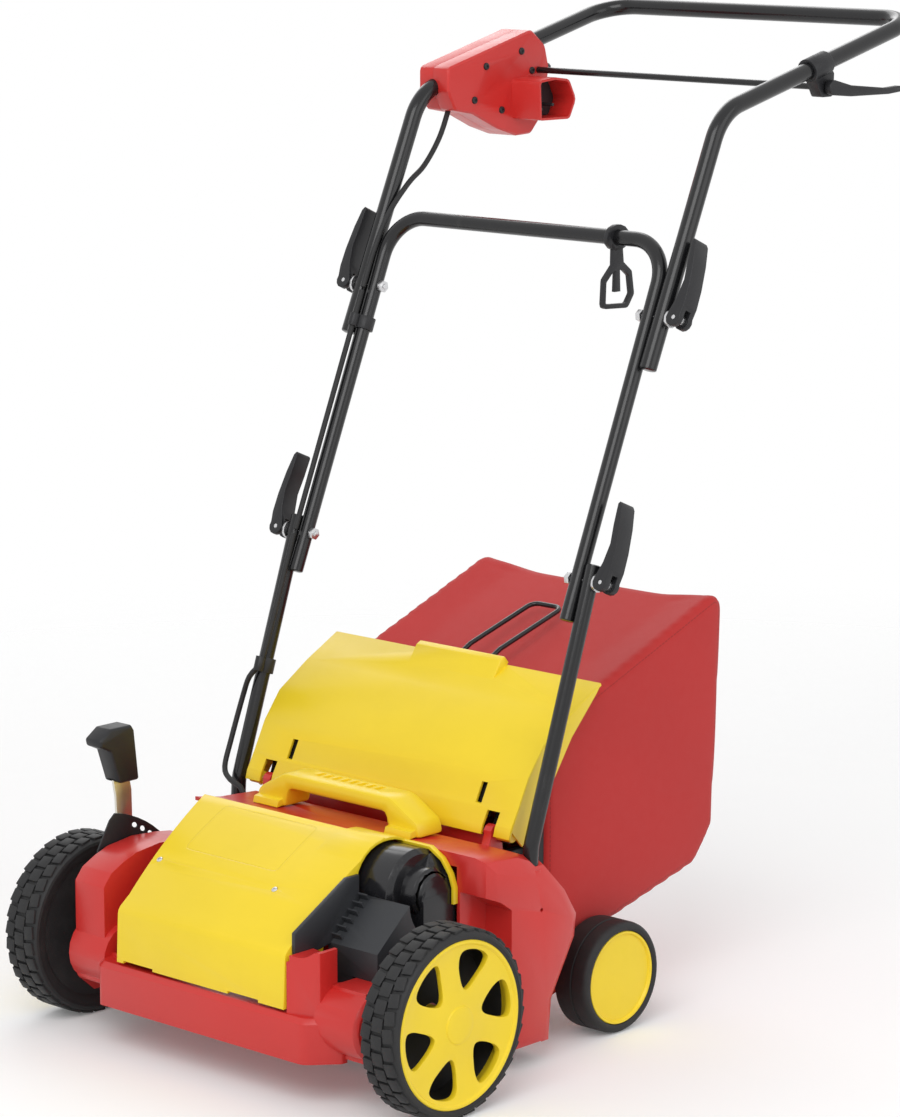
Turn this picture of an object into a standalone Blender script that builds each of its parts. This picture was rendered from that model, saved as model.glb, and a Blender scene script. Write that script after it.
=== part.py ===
import math

import bmesh
import bpy
from mathutils import Matrix, Vector

for thing in list(bpy.data.objects):
    bpy.data.objects.remove(thing, do_unlink=True)

# Clearances
gap = 0.0003
turning_gap = 0.0003
chamber_gap = 0.006

# Wheels and axles
axle_radius = 0.006
front_wheel_radius = 0.095
front_wheel_width = 0.0466
front_wheel_place = 0.2554
front_rim_radius = 0.0837
rear_wheel_radius = 0.0586
rear_wheel_width = 0.045
rear_wheel_place = 0.1928
rear_disc_radius = 0.0492
rear_axle_y = 0.3156

# Rotor
rotor_y = 0.125
rotor_z = 0.076
blade_reach = 0.070
blade_thickness = 0.002
blade_pairs = 7
blade_pitch = 0.020
shaft_radius = 0.008
drum_radius = 0.013
bearing_radius = 0.0175
bearing_width = 0.0107
wall = 0.004
chamber_half = 0.150
skirt_height = 0.017

# Motor and belt
motor_y = 0.071
motor_z = 0.191
motor_radius = 0.035
motor_low_x = -0.025
motor_high_x = 0.102
motor_shaft_radius = 0.004
barrel_radius = 0.042
barrel_low_x = 0.105
barrel_high_x = 0.156
case_wall = 0.0025
belt_x = 0.168
belt_width = 0.008
belt_thickness = 0.002
motor_pulley_radius = 0.014
rotor_pulley_radius = 0.036

# Handle
lower_tube_radius = 0.008
middle_tube_radius = 0.008
upper_tube_radius = 0.009
lower_tube_x = 0.2087
lower_fold_y = 0.2676
lower_fold_z = 0.481
upper_fold_y = 0.3755
upper_fold_z = 0.737
crossbar_y = 0.4062
crossbar_z = 0.8099
shoulder_y = 0.4659
shoulder_z = 0.9387
grip_y = 0.7877
grip_z = 1.0204

# Quick releases
bolt_radius = 0.003
washer_radius = 0.0095
washer_thickness = 0.003
cam_radius = 0.009
pin_radius = 0.0025
lever_width = 0.022
lever_length = 0.084

# Flap
flap_half = 0.188
flap_thickness = 0.003
hinge_y = 0.178
hinge_z = 0.231
hinge_radius = 0.003

# Depth setting
pivot_y = -0.026
pivot_z = 0.090
sector_radius = 0.132
sector_thickness = 0.002
lever_plate_thickness = 0.003
axle_lift = 0.0161

# Switch box and cable
box_y = 0.586
rod_radius = 0.0035
rod_y = 0.633
rod_z = 0.956
pin_pitch = 0.019
cable_radius = 0.003
cable_room = (cable_radius + gap) / math.cos(math.pi / 8)
cable_exit_x = -0.1745
cable_exit_y = 0.155

# Bag
bag_half = 0.166
bag_wall = 0.002
mouth_y = 0.248
wire_radius = 0.0025

# Bodies
row_y = -((grip_y + upper_tube_radius) - front_wheel_radius) / 2

machine = bpy.data.collections.new("lawn_scarifier")
guides = bpy.data.collections.new("guides")
bpy.context.scene.collection.children.link(machine)
bpy.context.scene.collection.children.link(guides)

drawing_planes = {
    "x": Matrix(((0, 0, 1, 0), (1, 0, 0, 0), (0, 1, 0, 0), (0, 0, 0, 1))),
    "y": Matrix(((1, 0, 0, 0), (0, 0, -1, 0), (0, 1, 0, 0), (0, 0, 0, 1))),
    "z": Matrix.Identity(4),
}


def settled(holder, weld=0.000002):
    bpy.context.view_layer.update()
    graph = bpy.context.evaluated_depsgraph_get()
    mesh = bpy.data.meshes.new_from_object(holder.evaluated_get(graph))
    mesh.transform(holder.matrix_world)
    work = bmesh.new()
    work.from_mesh(mesh)
    if weld > 0:
        bmesh.ops.remove_doubles(work, verts=work.verts, dist=weld)
    bmesh.ops.recalc_face_normals(work, faces=work.faces)
    work.to_mesh(mesh)
    work.free()
    bpy.data.objects.remove(holder, do_unlink=True)
    solid = bpy.data.objects.new("guide", mesh)
    guides.objects.link(solid)
    return solid


def moved(solid, matrix):
    solid.data.transform(matrix)
    return solid


def shifted(solid, x=0.0, y=0.0, z=0.0):
    return moved(solid, Matrix.Translation((x, y, z)))


def mirrored(solid):
    copy = bpy.data.objects.new("guide", solid.data.copy())
    guides.objects.link(copy)
    copy.data.transform(Matrix.Scale(-1, 4, (1, 0, 0)))
    copy.data.flip_normals()
    return copy


def copied(solid, matrix=Matrix.Identity(4)):
    copy = bpy.data.objects.new("guide", solid.data.copy())
    guides.objects.link(copy)
    copy.data.transform(matrix)
    return copy


def rounded(points, steps=4):
    ring = []
    for index, point in enumerate(points):
        here = Vector(point[:2])
        radius = point[2] if len(point) > 2 else 0
        if radius == 0:
            ring.append((here.x, here.y))
            continue
        before = Vector(points[index - 1][:2])
        after = Vector(points[(index + 1) % len(points)][:2])
        back = (before - here).normalized()
        ahead = (after - here).normalized()
        half = back.angle(ahead) / 2
        centre = here + (back + ahead).normalized() * radius / math.sin(half)
        first = here + back * radius / math.tan(half) - centre
        last = here + ahead * radius / math.tan(half) - centre
        start = math.atan2(first.y, first.x)
        turn = math.atan2(last.y, last.x) - start
        turn = (turn + math.pi) % (2 * math.pi) - math.pi
        for step in range(steps + 1):
            angle = start + turn * step / steps
            ring.append((centre.x + radius * math.cos(angle), centre.y + radius * math.sin(angle)))
    return ring


def arc(centre, radius, start, end, steps):
    points = []
    for step in range(steps + 1):
        angle = math.radians(start + (end - start) * step / steps)
        points.append((centre[0] + radius * math.cos(angle), centre[1] + radius * math.sin(angle)))
    return points


def slab(outline, low, high, axis="x", holes=()):
    curve = bpy.data.curves.new("outline", "CURVE")
    curve.dimensions = "2D"
    curve.fill_mode = "BOTH"
    curve.extrude = (high - low) / 2
    for ring in (outline, *holes):
        spline = curve.splines.new("POLY")
        spline.points.add(len(ring) - 1)
        for point, (across, up) in zip(spline.points, ring):
            point.co = (across, up, 0, 1)
        spline.use_cyclic_u = True
    holder = bpy.data.objects.new("outline", curve)
    guides.objects.link(holder)
    middle = (high + low) / 2
    place = Matrix.Translation((0, 0, -middle if axis == "y" else middle))
    holder.matrix_world = drawing_planes[axis] @ place
    solid = settled(holder)
    work = bmesh.new()
    work.from_mesh(solid.data)
    bmesh.ops.dissolve_limit(work, angle_limit=0.002, verts=work.verts, edges=work.edges)
    work.to_mesh(solid.data)
    work.free()
    return solid


def block(low, high):
    outline = [(low[0], low[1]), (high[0], low[1]), (high[0], high[1]), (low[0], high[1])]
    return slab(outline, low[2], high[2], "z")


def rod(start, end, radius, sides=16):
    start = Vector(start)
    end = Vector(end)
    work = bmesh.new()
    length = (end - start).length
    bmesh.ops.create_cone(
        work, cap_ends=True, segments=sides, radius1=radius, radius2=radius, depth=length
    )
    mesh = bpy.data.meshes.new("rod")
    work.to_mesh(mesh)
    work.free()
    turn = (end - start).to_track_quat("Z", "Y").to_matrix().to_4x4()
    mesh.transform(Matrix.Translation((start + end) / 2) @ turn)
    solid = bpy.data.objects.new("guide", mesh)
    guides.objects.link(solid)
    return solid


def turned(profile, place=(0, 0, 0), axis="x", steps=20):
    mesh = bpy.data.meshes.new("profile")
    count = len(profile)
    pairs = [(index, (index + 1) % count) for index in range(count)]
    edges = [pair for pair in pairs if profile[pair[0]][0] > 0 or profile[pair[1]][0] > 0]
    mesh.from_pydata([(radius, 0, height) for radius, height in profile], edges, [])
    holder = bpy.data.objects.new("profile", mesh)
    guides.objects.link(holder)
    screw = holder.modifiers.new("turn", "SCREW")
    screw.axis = "Z"
    screw.steps = steps
    screw.render_steps = steps
    screw.use_merge_vertices = True
    screw.merge_threshold = 0.00001
    holder.matrix_world = Matrix.Translation(place) @ (
        Matrix.Rotation(math.pi / 2, 4, "Y") if axis == "x" else Matrix.Identity(4)
    )
    return settled(holder)


def bent(points, steps=6):
    path = []
    for index, point in enumerate(points):
        here = Vector(point[:3])
        radius = point[3] if len(point) > 3 else 0
        if radius == 0:
            path.append(here)
            continue
        back = (Vector(points[index - 1][:3]) - here).normalized()
        ahead = (Vector(points[index + 1][:3]) - here).normalized()
        half = back.angle(ahead) / 2
        centre = here + (back + ahead).normalized() * radius / math.sin(half)
        first = here + back * radius / math.tan(half) - centre
        last = here + ahead * radius / math.tan(half) - centre
        whole = first.angle(last)
        for step in range(steps + 1):
            share = step / steps
            near = math.sin((1 - share) * whole) / math.sin(whole)
            far = math.sin(share * whole) / math.sin(whole)
            path.append(centre + first * near + last * far)
    return path


def smooth(points, spacing):
    places = [Vector(point) for point in points]
    path = []
    for index in range(len(places) - 1):
        near, far = places[index], places[index + 1]
        leave = (far - places[max(index - 1, 0)]) / (2 if index > 0 else 1)
        arrive = (places[min(index + 2, len(places) - 1)] - near) / (2 if index + 2 < len(places) else 1)
        steps = max(2, round((far - near).length / spacing))
        for step in range(steps):
            t = step / steps
            place = near * (2 * t ** 3 - 3 * t ** 2 + 1) + far * (3 * t ** 2 - 2 * t ** 3)
            place += leave * (t ** 3 - 2 * t ** 2 + t) + arrive * (t ** 3 - t ** 2)
            path.append(tuple(place))
    return path + [tuple(places[-1])]


def pipe(points, radius, steps=6, closed=False, sides=3):
    path = bent(points, steps)
    curve = bpy.data.curves.new("path", "CURVE")
    curve.dimensions = "3D"
    curve.bevel_depth = radius
    curve.bevel_resolution = sides
    curve.use_fill_caps = not closed
    spline = curve.splines.new("POLY")
    spline.points.add(len(path) - 1)
    for point, place in zip(spline.points, path):
        point.co = (*place, 1)
    spline.use_cyclic_u = closed
    holder = bpy.data.objects.new("path", curve)
    guides.objects.link(holder)
    return settled(holder)


def combined(operation, first, others):
    for other in others:
        step = first.modifiers.new(operation, "BOOLEAN")
        step.operation = operation
        step.solver = "EXACT"
        step.object = other
        first = settled(first, 0)
        bpy.data.objects.remove(other, do_unlink=True)
    return first


def cut(solid, *tools):
    return combined("DIFFERENCE", solid, tools)


def joined(solid, *others):
    return combined("UNION", solid, others)


def common(solid, *others):
    return combined("INTERSECT", solid, others)


def grouped(*solids):
    work = bmesh.new()
    for solid in solids:
        work.from_mesh(solid.data)
        bpy.data.objects.remove(solid, do_unlink=True)
    mesh = bpy.data.meshes.new("group")
    work.to_mesh(mesh)
    work.free()
    group = bpy.data.objects.new("guide", mesh)
    guides.objects.link(group)
    return group


def softened(solid, width, angle=40, segments=3, side=None):
    work = bmesh.new()
    work.from_mesh(solid.data)
    weights = work.edges.layers.float.new("bevel_weight_edge")
    for edge in work.edges:
        if len(edge.link_faces) != 2:
            continue
        sharp = edge.calc_face_angle(0) > math.radians(angle)
        if side is not None:
            axis, value = side
            sharp = sharp and all(abs(vert.co[axis] - value) < 0.00001 for vert in edge.verts)
        edge[weights] = 1.0 if sharp else 0.0
    work.to_mesh(solid.data)
    work.free()
    bevel = solid.modifiers.new("edge", "BEVEL")
    bevel.width = width
    bevel.segments = segments
    bevel.limit_method = "WEIGHT"
    bevel.use_clamp_overlap = True
    return settled(solid)


bodies = {}


def body(name, place, parent=None):
    hub = bpy.data.objects.new(name, None)
    hub.empty_display_size = 0.02
    machine.objects.link(hub)
    hub.location = place
    if parent:
        bpy.context.view_layer.update()
        hub.parent = bodies[parent]
        hub.matrix_parent_inverse = bodies[parent].matrix_world.inverted()
    bpy.context.view_layer.update()
    bodies[name] = hub
    return hub


paints = {}


def paint(name, colour, roughness, metallic=0.0):
    material = bpy.data.materials.new(name)
    material.use_nodes = True
    shader = material.node_tree.nodes["Principled BSDF"]
    shader.inputs["Base Color"].default_value = (*colour, 1)
    shader.inputs["Roughness"].default_value = roughness
    shader.inputs["Metallic"].default_value = metallic
    material.diffuse_color = (*colour, 1)
    paints[name] = material


paint("red_plastic", (0.50, 0.03, 0.025), 0.4)
paint("yellow_plastic", (0.87, 0.62, 0.03), 0.4)
paint("black_plastic", (0.03, 0.03, 0.033), 0.45)
paint("grey_plastic", (0.07, 0.072, 0.078), 0.5)
paint("black_tube", (0.015, 0.015, 0.016), 0.25)
paint("rubber", (0.035, 0.035, 0.037), 0.75)
paint("bright_steel", (0.62, 0.62, 0.63), 0.3, 1.0)
paint("blade_steel", (0.45, 0.45, 0.46), 0.35, 1.0)
paint("zinc_steel", (0.66, 0.64, 0.55), 0.35, 1.0)
paint("red_fabric", (0.42, 0.02, 0.02), 0.85)
paint("cable_black", (0.02, 0.02, 0.022), 0.5)
paint("motor_silver", (0.5, 0.51, 0.52), 0.45, 1.0)


def part(name, solid, colour, home="frame", origin=None, smooth=35):
    solid.name = name
    solid.data.name = name
    guides.objects.unlink(solid)
    machine.objects.link(solid)
    solid.data.materials.clear()
    solid.data.materials.append(paints[colour])
    solid.data.shade_smooth()
    solid.data.set_sharp_from_angle(angle=math.radians(smooth))
    hub = bodies[home]
    place = Vector(origin) if origin else hub.matrix_world.translation
    solid.data.transform(Matrix.Translation(-place))
    solid.location = place
    solid.parent = hub
    solid.matrix_parent_inverse = hub.matrix_world.inverted()
    return solid


body("frame", (0, 0, 0))
body("front_axle_body", (0, 0, front_wheel_radius), "frame")
body("front_wheel_right", (front_wheel_place, 0, front_wheel_radius), "front_axle_body")
body("front_wheel_left", (-front_wheel_place, 0, front_wheel_radius), "front_axle_body")
body("rear_wheel_right", (rear_wheel_place, rear_axle_y, rear_wheel_radius), "frame")
body("rear_wheel_left", (-rear_wheel_place, rear_axle_y, rear_wheel_radius), "frame")
body("depth_setting", (-0.210, pivot_y, pivot_z), "frame")
body("rotor", (0, rotor_y, rotor_z), "frame")
body("motor_rotor", (0, motor_y, motor_z), "frame")
body("flap_body", (0, hinge_y, hinge_z), "frame")
body("middle_handle", (0, lower_fold_y, lower_fold_z), "frame")
body("upper_handle", (0, upper_fold_y, upper_fold_z), "middle_handle")
body("bag_body", (0, mouth_y, 0.200), "frame")

# Handle directions
bend_y = 0.1796
bend_z = 0.2246
socket_y = 0.1745
socket_z = 0.150
lower_way = Vector((0, lower_fold_y - bend_y, lower_fold_z - bend_z)).normalized()
middle_way = Vector((0, crossbar_y - lower_fold_y, crossbar_z - lower_fold_z)).normalized()
upper_way = Vector((0, shoulder_y - upper_fold_y, shoulder_z - upper_fold_z)).normalized()
socket_way = Vector((0, bend_y - socket_y, bend_z - socket_z)).normalized()
middle_tube_x = lower_tube_x - lower_tube_radius - gap - middle_tube_radius
upper_tube_x = middle_tube_x + middle_tube_radius + gap + upper_tube_radius

# Front wheels
seat_radius = front_rim_radius + gap
half_width = front_wheel_width / 2


def front_tyre():
    return turned([
        (seat_radius, half_width - 0.0012),
        (front_wheel_radius - 0.006, half_width),
        (front_wheel_radius, half_width - 0.0050),
        (front_wheel_radius, 0.0050 - half_width),
        (front_wheel_radius - 0.006, -half_width),
        (seat_radius, 0.0012 - half_width),
    ], steps=28)


def front_rim():
    bore = axle_radius + turning_gap
    face = half_width - 0.0004
    body_of_rim = turned([
        (front_rim_radius, face - 0.0006),
        (front_rim_radius - 0.0040, face),
        (front_rim_radius - 0.0060, face - 0.0022),
        (0.0, face - 0.0010),
        (0.0, face - 0.0065),
        (bore, face - 0.0065),
        (bore, face - 0.0105),
        (axle_radius - 0.0007, face - 0.0120),
        (bore, face - 0.0145),
        (bore, 0.0025 - half_width),
        (0.0125, 0.0025 - half_width),
        (0.0125, face - 0.0055),
        (front_rim_radius - 0.0056, face - 0.0065),
        (front_rim_radius - 0.0032, 0.0035 - half_width),
        (front_rim_radius, 0.0035 - half_width),
    ], steps=28)
    scale = front_rim_radius / 0.0837
    leaf = []
    for radius, angle in (
        (0.0755, -12), (0.0765, -1), (0.0755, 11), (0.050, 18), (0.032, 13), (0.0335, 3), (0.055, -13),
    ):
        turn = math.radians(angle + 72)
        leaf.append((radius * scale * math.cos(turn), radius * scale * math.sin(turn)))
    tools = []
    for index in range(6):
        tool = slab(leaf, face - 0.012, face + 0.005)
        tools.append(moved(tool, Matrix.Rotation(math.radians(60 * index), 4, "X")))
    return cut(body_of_rim, grouped(*tools))


half_turn = Matrix.Rotation(math.pi, 4, "Z")
for side, sign in (("right", 1), ("left", -1)):
    home = "front_wheel_" + side
    place = (sign * front_wheel_place, 0, front_wheel_radius)
    turn = Matrix.Translation(place) @ (Matrix.Identity(4) if sign > 0 else half_turn)
    part("front_tyre_" + side, moved(front_tyre(), turn), "rubber", home)
    part("front_rim_" + side, moved(front_rim(), turn), "yellow_plastic", home)

# Rear wheels
rear_half = rear_wheel_width / 2
rear_seat = rear_disc_radius + gap


def rear_tyre():
    return turned([
        (rear_seat, rear_half - 0.0015),
        (rear_wheel_radius - 0.005, rear_half),
        (rear_wheel_radius, rear_half - 0.006),
        (rear_wheel_radius, 0.006 - rear_half),
        (rear_wheel_radius - 0.005, -rear_half),
        (rear_seat, 0.0015 - rear_half),
    ], steps=24)


def rear_disc():
    bore = axle_radius + turning_gap
    face = rear_half - 0.0025
    return turned([
        (rear_disc_radius, face),
        (rear_disc_radius - 0.0030, face),
        (0.0, face - 0.0004),
        (0.0, face - 0.0060),
        (bore, face - 0.0060),
        (bore, face - 0.0100),
        (axle_radius - 0.0007, face - 0.0115),
        (bore, face - 0.0140),
        (bore, 0.0020 - rear_half),
        (0.0115, 0.0020 - rear_half),
        (0.0115, face - 0.0045),
        (rear_disc_radius - 0.0045, face - 0.0045),
        (rear_disc_radius, 0.0035 - rear_half),
    ], steps=24)


for side, sign in (("right", 1), ("left", -1)):
    home = "rear_wheel_" + side
    place = (sign * rear_wheel_place, rear_axle_y, rear_wheel_radius)
    turn = Matrix.Translation(place) @ (Matrix.Identity(4) if sign > 0 else half_turn)
    part("rear_tyre_" + side, moved(rear_tyre(), turn), "rubber", home)
    part("rear_disc_" + side, moved(rear_disc(), turn), "yellow_plastic", home)


# Axles with the snap grooves of the hubs and two ears crimped up beside the bearings
def axle(place_x, face, ear_x):
    half = place_x + face - 0.0065 - gap
    groove = place_x + face - 0.0145
    ear = axle_radius + 0.0025
    profile = [
        (0.0, half),
        (axle_radius, half),
        (axle_radius, groove + 0.0044),
        (axle_radius - 0.001, groove + 0.0034),
        (axle_radius - 0.001, groove + 0.0016),
        (axle_radius, groove + 0.0002),
        (axle_radius, ear_x + 0.0020),
        (ear, ear_x + 0.0012),
        (ear, ear_x),
        (axle_radius, ear_x - 0.0001),
    ]
    return turned(profile + [(radius, -height) for radius, height in reversed(profile)], steps=12)


front_ear_x = 0.2235
rear_ear_x = 0.1535
front_axle = axle(front_wheel_place, half_width - 0.0004, front_ear_x)
part("front_axle", shifted(front_axle, z=front_wheel_radius), "bright_steel", "front_axle_body")
rear_axle = axle(rear_wheel_place, rear_half - 0.0025 + 0.0005, rear_ear_x)
part("rear_axle", shifted(rear_axle, y=rear_axle_y, z=rear_wheel_radius), "bright_steel")

# Deck of the machine, one moulding built from the outside shapes and hollowed from below
inner_radius = blade_reach + chamber_gap
outer_radius = inner_radius + wall
rotor_place = (rotor_y, rotor_z)
front_y = 0.098
left_front_y = 0.064
wall_low = chamber_half
wall_high = chamber_half + wall
deck_half = 0.222
deck_top = [(0.150, 0.225), (0.170, 0.217), (0.178, 0.210)]
deck_back = [(0.224, 0.176), (0.243, 0.146), (0.240, 0.120), (0.205, 0.062)]
right_top = [(front_y, 0.2285), *deck_top, (0.190, 0.210)]
left_top = [(left_front_y, 0.185), (0.130, 0.190), (0.155, 0.2065), (0.190, 0.2065)]
foot = [(0.201, skirt_height)]


def chamber_roof():
    outside = arc(rotor_place, outer_radius, 180, 95, 7)
    inside = arc(rotor_place, inner_radius, 95, 180, 7)
    outline = [(rotor_y - outer_radius, skirt_height)] + outside
    outline += [(0.178, 0.2145), (0.1808, 0.2116)] + inside
    outline += [(rotor_y - inner_radius, skirt_height)]
    return slab(outline, -wall_high + 0.001, wall_high - 0.001)


def chamber_side():
    outline = [(rotor_y - outer_radius, skirt_height)]
    outline += arc(rotor_place, outer_radius, 180, 95, 7)
    outline += [(0.178, 0.2145), (0.186, 0.212), (0.196, 0.200), (0.222, 0.064), (0.200, skirt_height)]
    return slab(outline, wall_low, wall_high)


def offset_ring(ring, inset):
    count = len(ring)
    area = sum(ring[i - 1][0] * ring[i][1] - ring[i][0] * ring[i - 1][1] for i in range(count))
    sign = 1 if area > 0 else -1
    result = []
    for index in range(count):
        here = Vector(ring[index])
        before = (here - Vector(ring[index - 1])).normalized()
        after = (Vector(ring[(index + 1) % count]) - here).normalized()
        left = Vector((-before.y, before.x)) * sign
        right = Vector((-after.y, after.x)) * sign
        middle = (left + right).normalized()
        result.append(tuple(here + middle * inset / max(0.3, middle.dot(left))))
    return result


def shoulder(top):
    ring = [(top[0][0], skirt_height), *top, *deck_back, *foot]
    outside = slab(ring, chamber_half + 0.0007, deck_half)
    outside = softened(outside, 0.018, 20, 2, (0, deck_half))
    inset = offset_ring(ring, wall)
    inset[0] = (inset[0][0], -0.01)
    inset[-1] = (inset[-1][0], -0.01)
    hollow = slab(inset, wall_high + 0.0004, deck_half - wall)
    hollow = softened(hollow, 0.014, 20, 2, (0, deck_half - wall))
    return outside, hollow


recess_ring = [(0.0, 0.0), (0.0, 0.196), (front_y, 0.190), (0.120, 0.181), (0.136, 0.170), (0.136, 0.0)]
left_recess_ring = [(0.0, 0.0), (0.0, 0.240), (0.136, 0.240), (0.136, 0.0)]
recess_depth = 0.187
left_recess_depth = 0.2013

right_outside, right_hollow = shoulder(right_top)
left_outside, left_hollow = shoulder(left_top)
left_outside = moved(left_outside, Matrix.Scale(-1, 4, (1, 0, 0)))
left_hollow = moved(left_hollow, Matrix.Scale(-1, 4, (1, 0, 0)))
left_outside.data.flip_normals()
left_hollow.data.flip_normals()
recess_wall_right = slab(offset_ring(recess_ring, -wall), recess_depth - wall, 0.3)
recess_wall_left = slab(offset_ring(left_recess_ring, -wall), -0.3, wall - left_recess_depth)
right_hollow = cut(right_hollow, recess_wall_right)
left_hollow = cut(left_hollow, recess_wall_left)
right_outside = cut(right_outside, slab(recess_ring, recess_depth, 0.3))
left_outside = cut(left_outside, slab(left_recess_ring, -0.3, -left_recess_depth))

# Arms to the front wheels
arm_top = 0.121
arm_low = 0.155
arm_high = 0.200
arm_front = -0.050
right_arm = block((arm_low, arm_front, 0.050), (arm_high, front_y + 0.006, arm_top))
right_arm_hollow = block(
    (arm_low + 0.0025, arm_front + 0.003, -0.01), (arm_high - 0.0025, front_y + 0.01, arm_top - 0.003)
)
hump_low = -0.204
hump_high = -0.158
hump_ring = [
    (-0.063, 0.060, 0.006), (-0.063, 0.162, 0.006), (-0.052, 0.175, 0.006), (-0.035, 0.1835), (-0.017, 0.190),
    (0.015, 0.194), (0.048, 0.192), (0.070, 0.189), (0.070, 0.040), (-0.040, 0.040),
]
hump_ring = rounded(hump_ring, 2)
hump = softened(slab(hump_ring, hump_low, hump_high), 0.004, 40, 2, (0, hump_low))
hump_inset = offset_ring(hump_ring, 0.003)
hump_inset = [(y, z if z > 0.07 else z - 0.08) for y, z in hump_inset]
hump_hollow = slab(hump_inset, hump_low + 0.003, hump_high - 0.003)

# Bearings of the front axle: round noses with an upright slot that lets the axle rise
nose_y = -0.038
nose_z = 0.086
nose_radius = 0.034
nose_low = 0.150
nose_end = 0.207
nose = rod((nose_low, nose_y, nose_z), (nose_end, nose_y, nose_z), nose_radius, 20)
nose = softened(nose, 0.004, 40, 1, (0, nose_end))
slot_half = axle_radius + gap
slot_top = front_wheel_radius + axle_lift
slot_ring = (
    arc((0, slot_top), slot_half, 0, 180, 6) + arc((0, front_wheel_radius), slot_half, 180, 360, 6)
)

# Tray under the motor, bumper and post
tray = slab([
    (-0.060, 0.048), (-0.060, 0.094), (-0.0565, 0.094), (-0.0565, 0.0515),
    (rotor_y - inner_radius - 0.002, 0.0515), (rotor_y - inner_radius - 0.002, 0.048),
], -0.1565, 0.1565)
bumper_low = 0.0456
bumper_top = 0.091
bumper_ring = rounded([
    (-0.155, -0.052), (-0.155, -0.072, 0.006), (-0.145, -0.083, 0.008), (0.146, -0.083, 0.014),
    (0.172, -0.054, 0.006), (0.172, -0.042), (0.150, -0.042), (0.150, -0.052),
], 2)
bumper = softened(slab(bumper_ring, bumper_low, bumper_top, "z"), 0.005, 60, 1, (2, bumper_top))
bumper_inside = [(x, y) for x, y in offset_ring(bumper_ring, 0.0035)]
bumper_hollow = slab(bumper_inside, 0.0, bumper_top - 0.0035, "z")
post_low = 0.118
post_high = 0.154
post_ring = rounded([
    (post_low, -0.076), (post_high, -0.066, 0.004), (post_high, -0.042), (post_low, -0.042)
], 2)
post = slab(post_ring, 0.084, 0.158, "z")
saddle = slab([
    (0.100, 0.170), (0.100, 0.151), (post_low + 0.004, 0.1495), (0.130, 0.1485), (0.136, 0.1490),
    (0.142, 0.1515), (0.148, 0.1555), (0.151, 0.1565), (0.160, 0.1540), (0.160, 0.170),
], -0.080, -0.020, "y")
post = cut(post, saddle)
post_hollow = slab(offset_ring(post_ring, 0.003), 0.0, 0.145, "z")

# Hinge lugs, axle brackets, bearing bosses, tube sockets and motor ribs
lug_radius = 0.008
lug_low = 0.153
lug_high = 0.163


def hinge_lug():
    ring = arc((hinge_y, hinge_z), lug_radius, 200, -20, 6)
    ring += [(hinge_y + 0.012, 0.200), (hinge_y - 0.018, 0.200)]
    return slab(ring, lug_low, lug_high)


bracket_low = 0.1405
bracket_high = 0.1525


def axle_bracket():
    ring = arc((rear_axle_y, rear_wheel_radius), 0.014, 100, -110, 7)
    ring += [(0.222, skirt_height + 0.004), (0.196, skirt_height), (0.200, 0.066), (0.222, 0.068)]
    return slab(ring, bracket_low, bracket_high)


def bearing_boss():
    return rod(
        (wall_low + 0.001, *rotor_place), (wall_low + bearing_width + 0.0010, *rotor_place),
        bearing_radius + 0.005, 18
    )


socket_radius = lower_tube_radius + gap
socket_end = Vector((lower_tube_x, socket_y, socket_z)) - socket_way * 0.0035
socket_mouth = Vector((lower_tube_x, socket_y, socket_z)) + socket_way * 0.052


def tube_socket():
    return rod(socket_end, socket_mouth, socket_radius + 0.0035, 14)


deck = chamber_roof()
side_plate = chamber_side()
deck = joined(deck, mirrored(side_plate), side_plate)
skin = slab([
    (0.062, 0.2355), (front_y, 0.2285), *deck_top[:2], (0.186, 0.212), (0.180, 0.2085),
    (0.166, 0.2135), (0.149, 0.221), (front_y, 0.2245), (0.062, 0.2315),
], -wall_high + 0.001, 0.0496)
skin_right = slab([
    (front_y + 0.0003, 0.2285), *deck_top[:2], (0.186, 0.212), (0.180, 0.2085),
    (0.166, 0.2135), (0.149, 0.221), (front_y + 0.0003, 0.2245),
], 0.045, wall_high - 0.001)
deck = joined(deck, skin, skin_right)
deck = joined(deck, right_outside, left_outside, right_arm, hump, tray)
left_nose = mirrored(nose)
deck = joined(deck, nose, left_nose, bumper, post)
belt_opening = block((wall_high + 0.0011, 0.060, -0.01), (recess_depth - wall, front_y + 0.010, 0.215))
deck = cut(deck, right_hollow, left_hollow, right_arm_hollow, hump_hollow)
deck = cut(deck, bumper_hollow, post_hollow, belt_opening)
lug = hinge_lug()
bracket = axle_bracket()
boss = bearing_boss()
socket = tube_socket()
deck = joined(deck, mirrored(lug), lug, mirrored(bracket), bracket)
deck = joined(deck, mirrored(boss), boss, mirrored(socket), socket)

cradle_ring = [
    (0.0455, 0.100), (0.040, 0.168), (0.102, 0.168), (0.112, 0.1540), (0.084, 0.1440), (0.062, 0.1240),
]
cradle = slab(cradle_ring, -0.012, -0.006)
cradle = grouped(cradle, slab(cradle_ring, 0.084, 0.090))
deck = joined(deck, cradle)
motor_start = (motor_low_x - 0.01, motor_y, motor_z)
motor_end = (motor_high_x + 0.01, motor_y, motor_z)
deck = cut(deck, rod(motor_start, motor_end, motor_radius + gap, 28))

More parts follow.
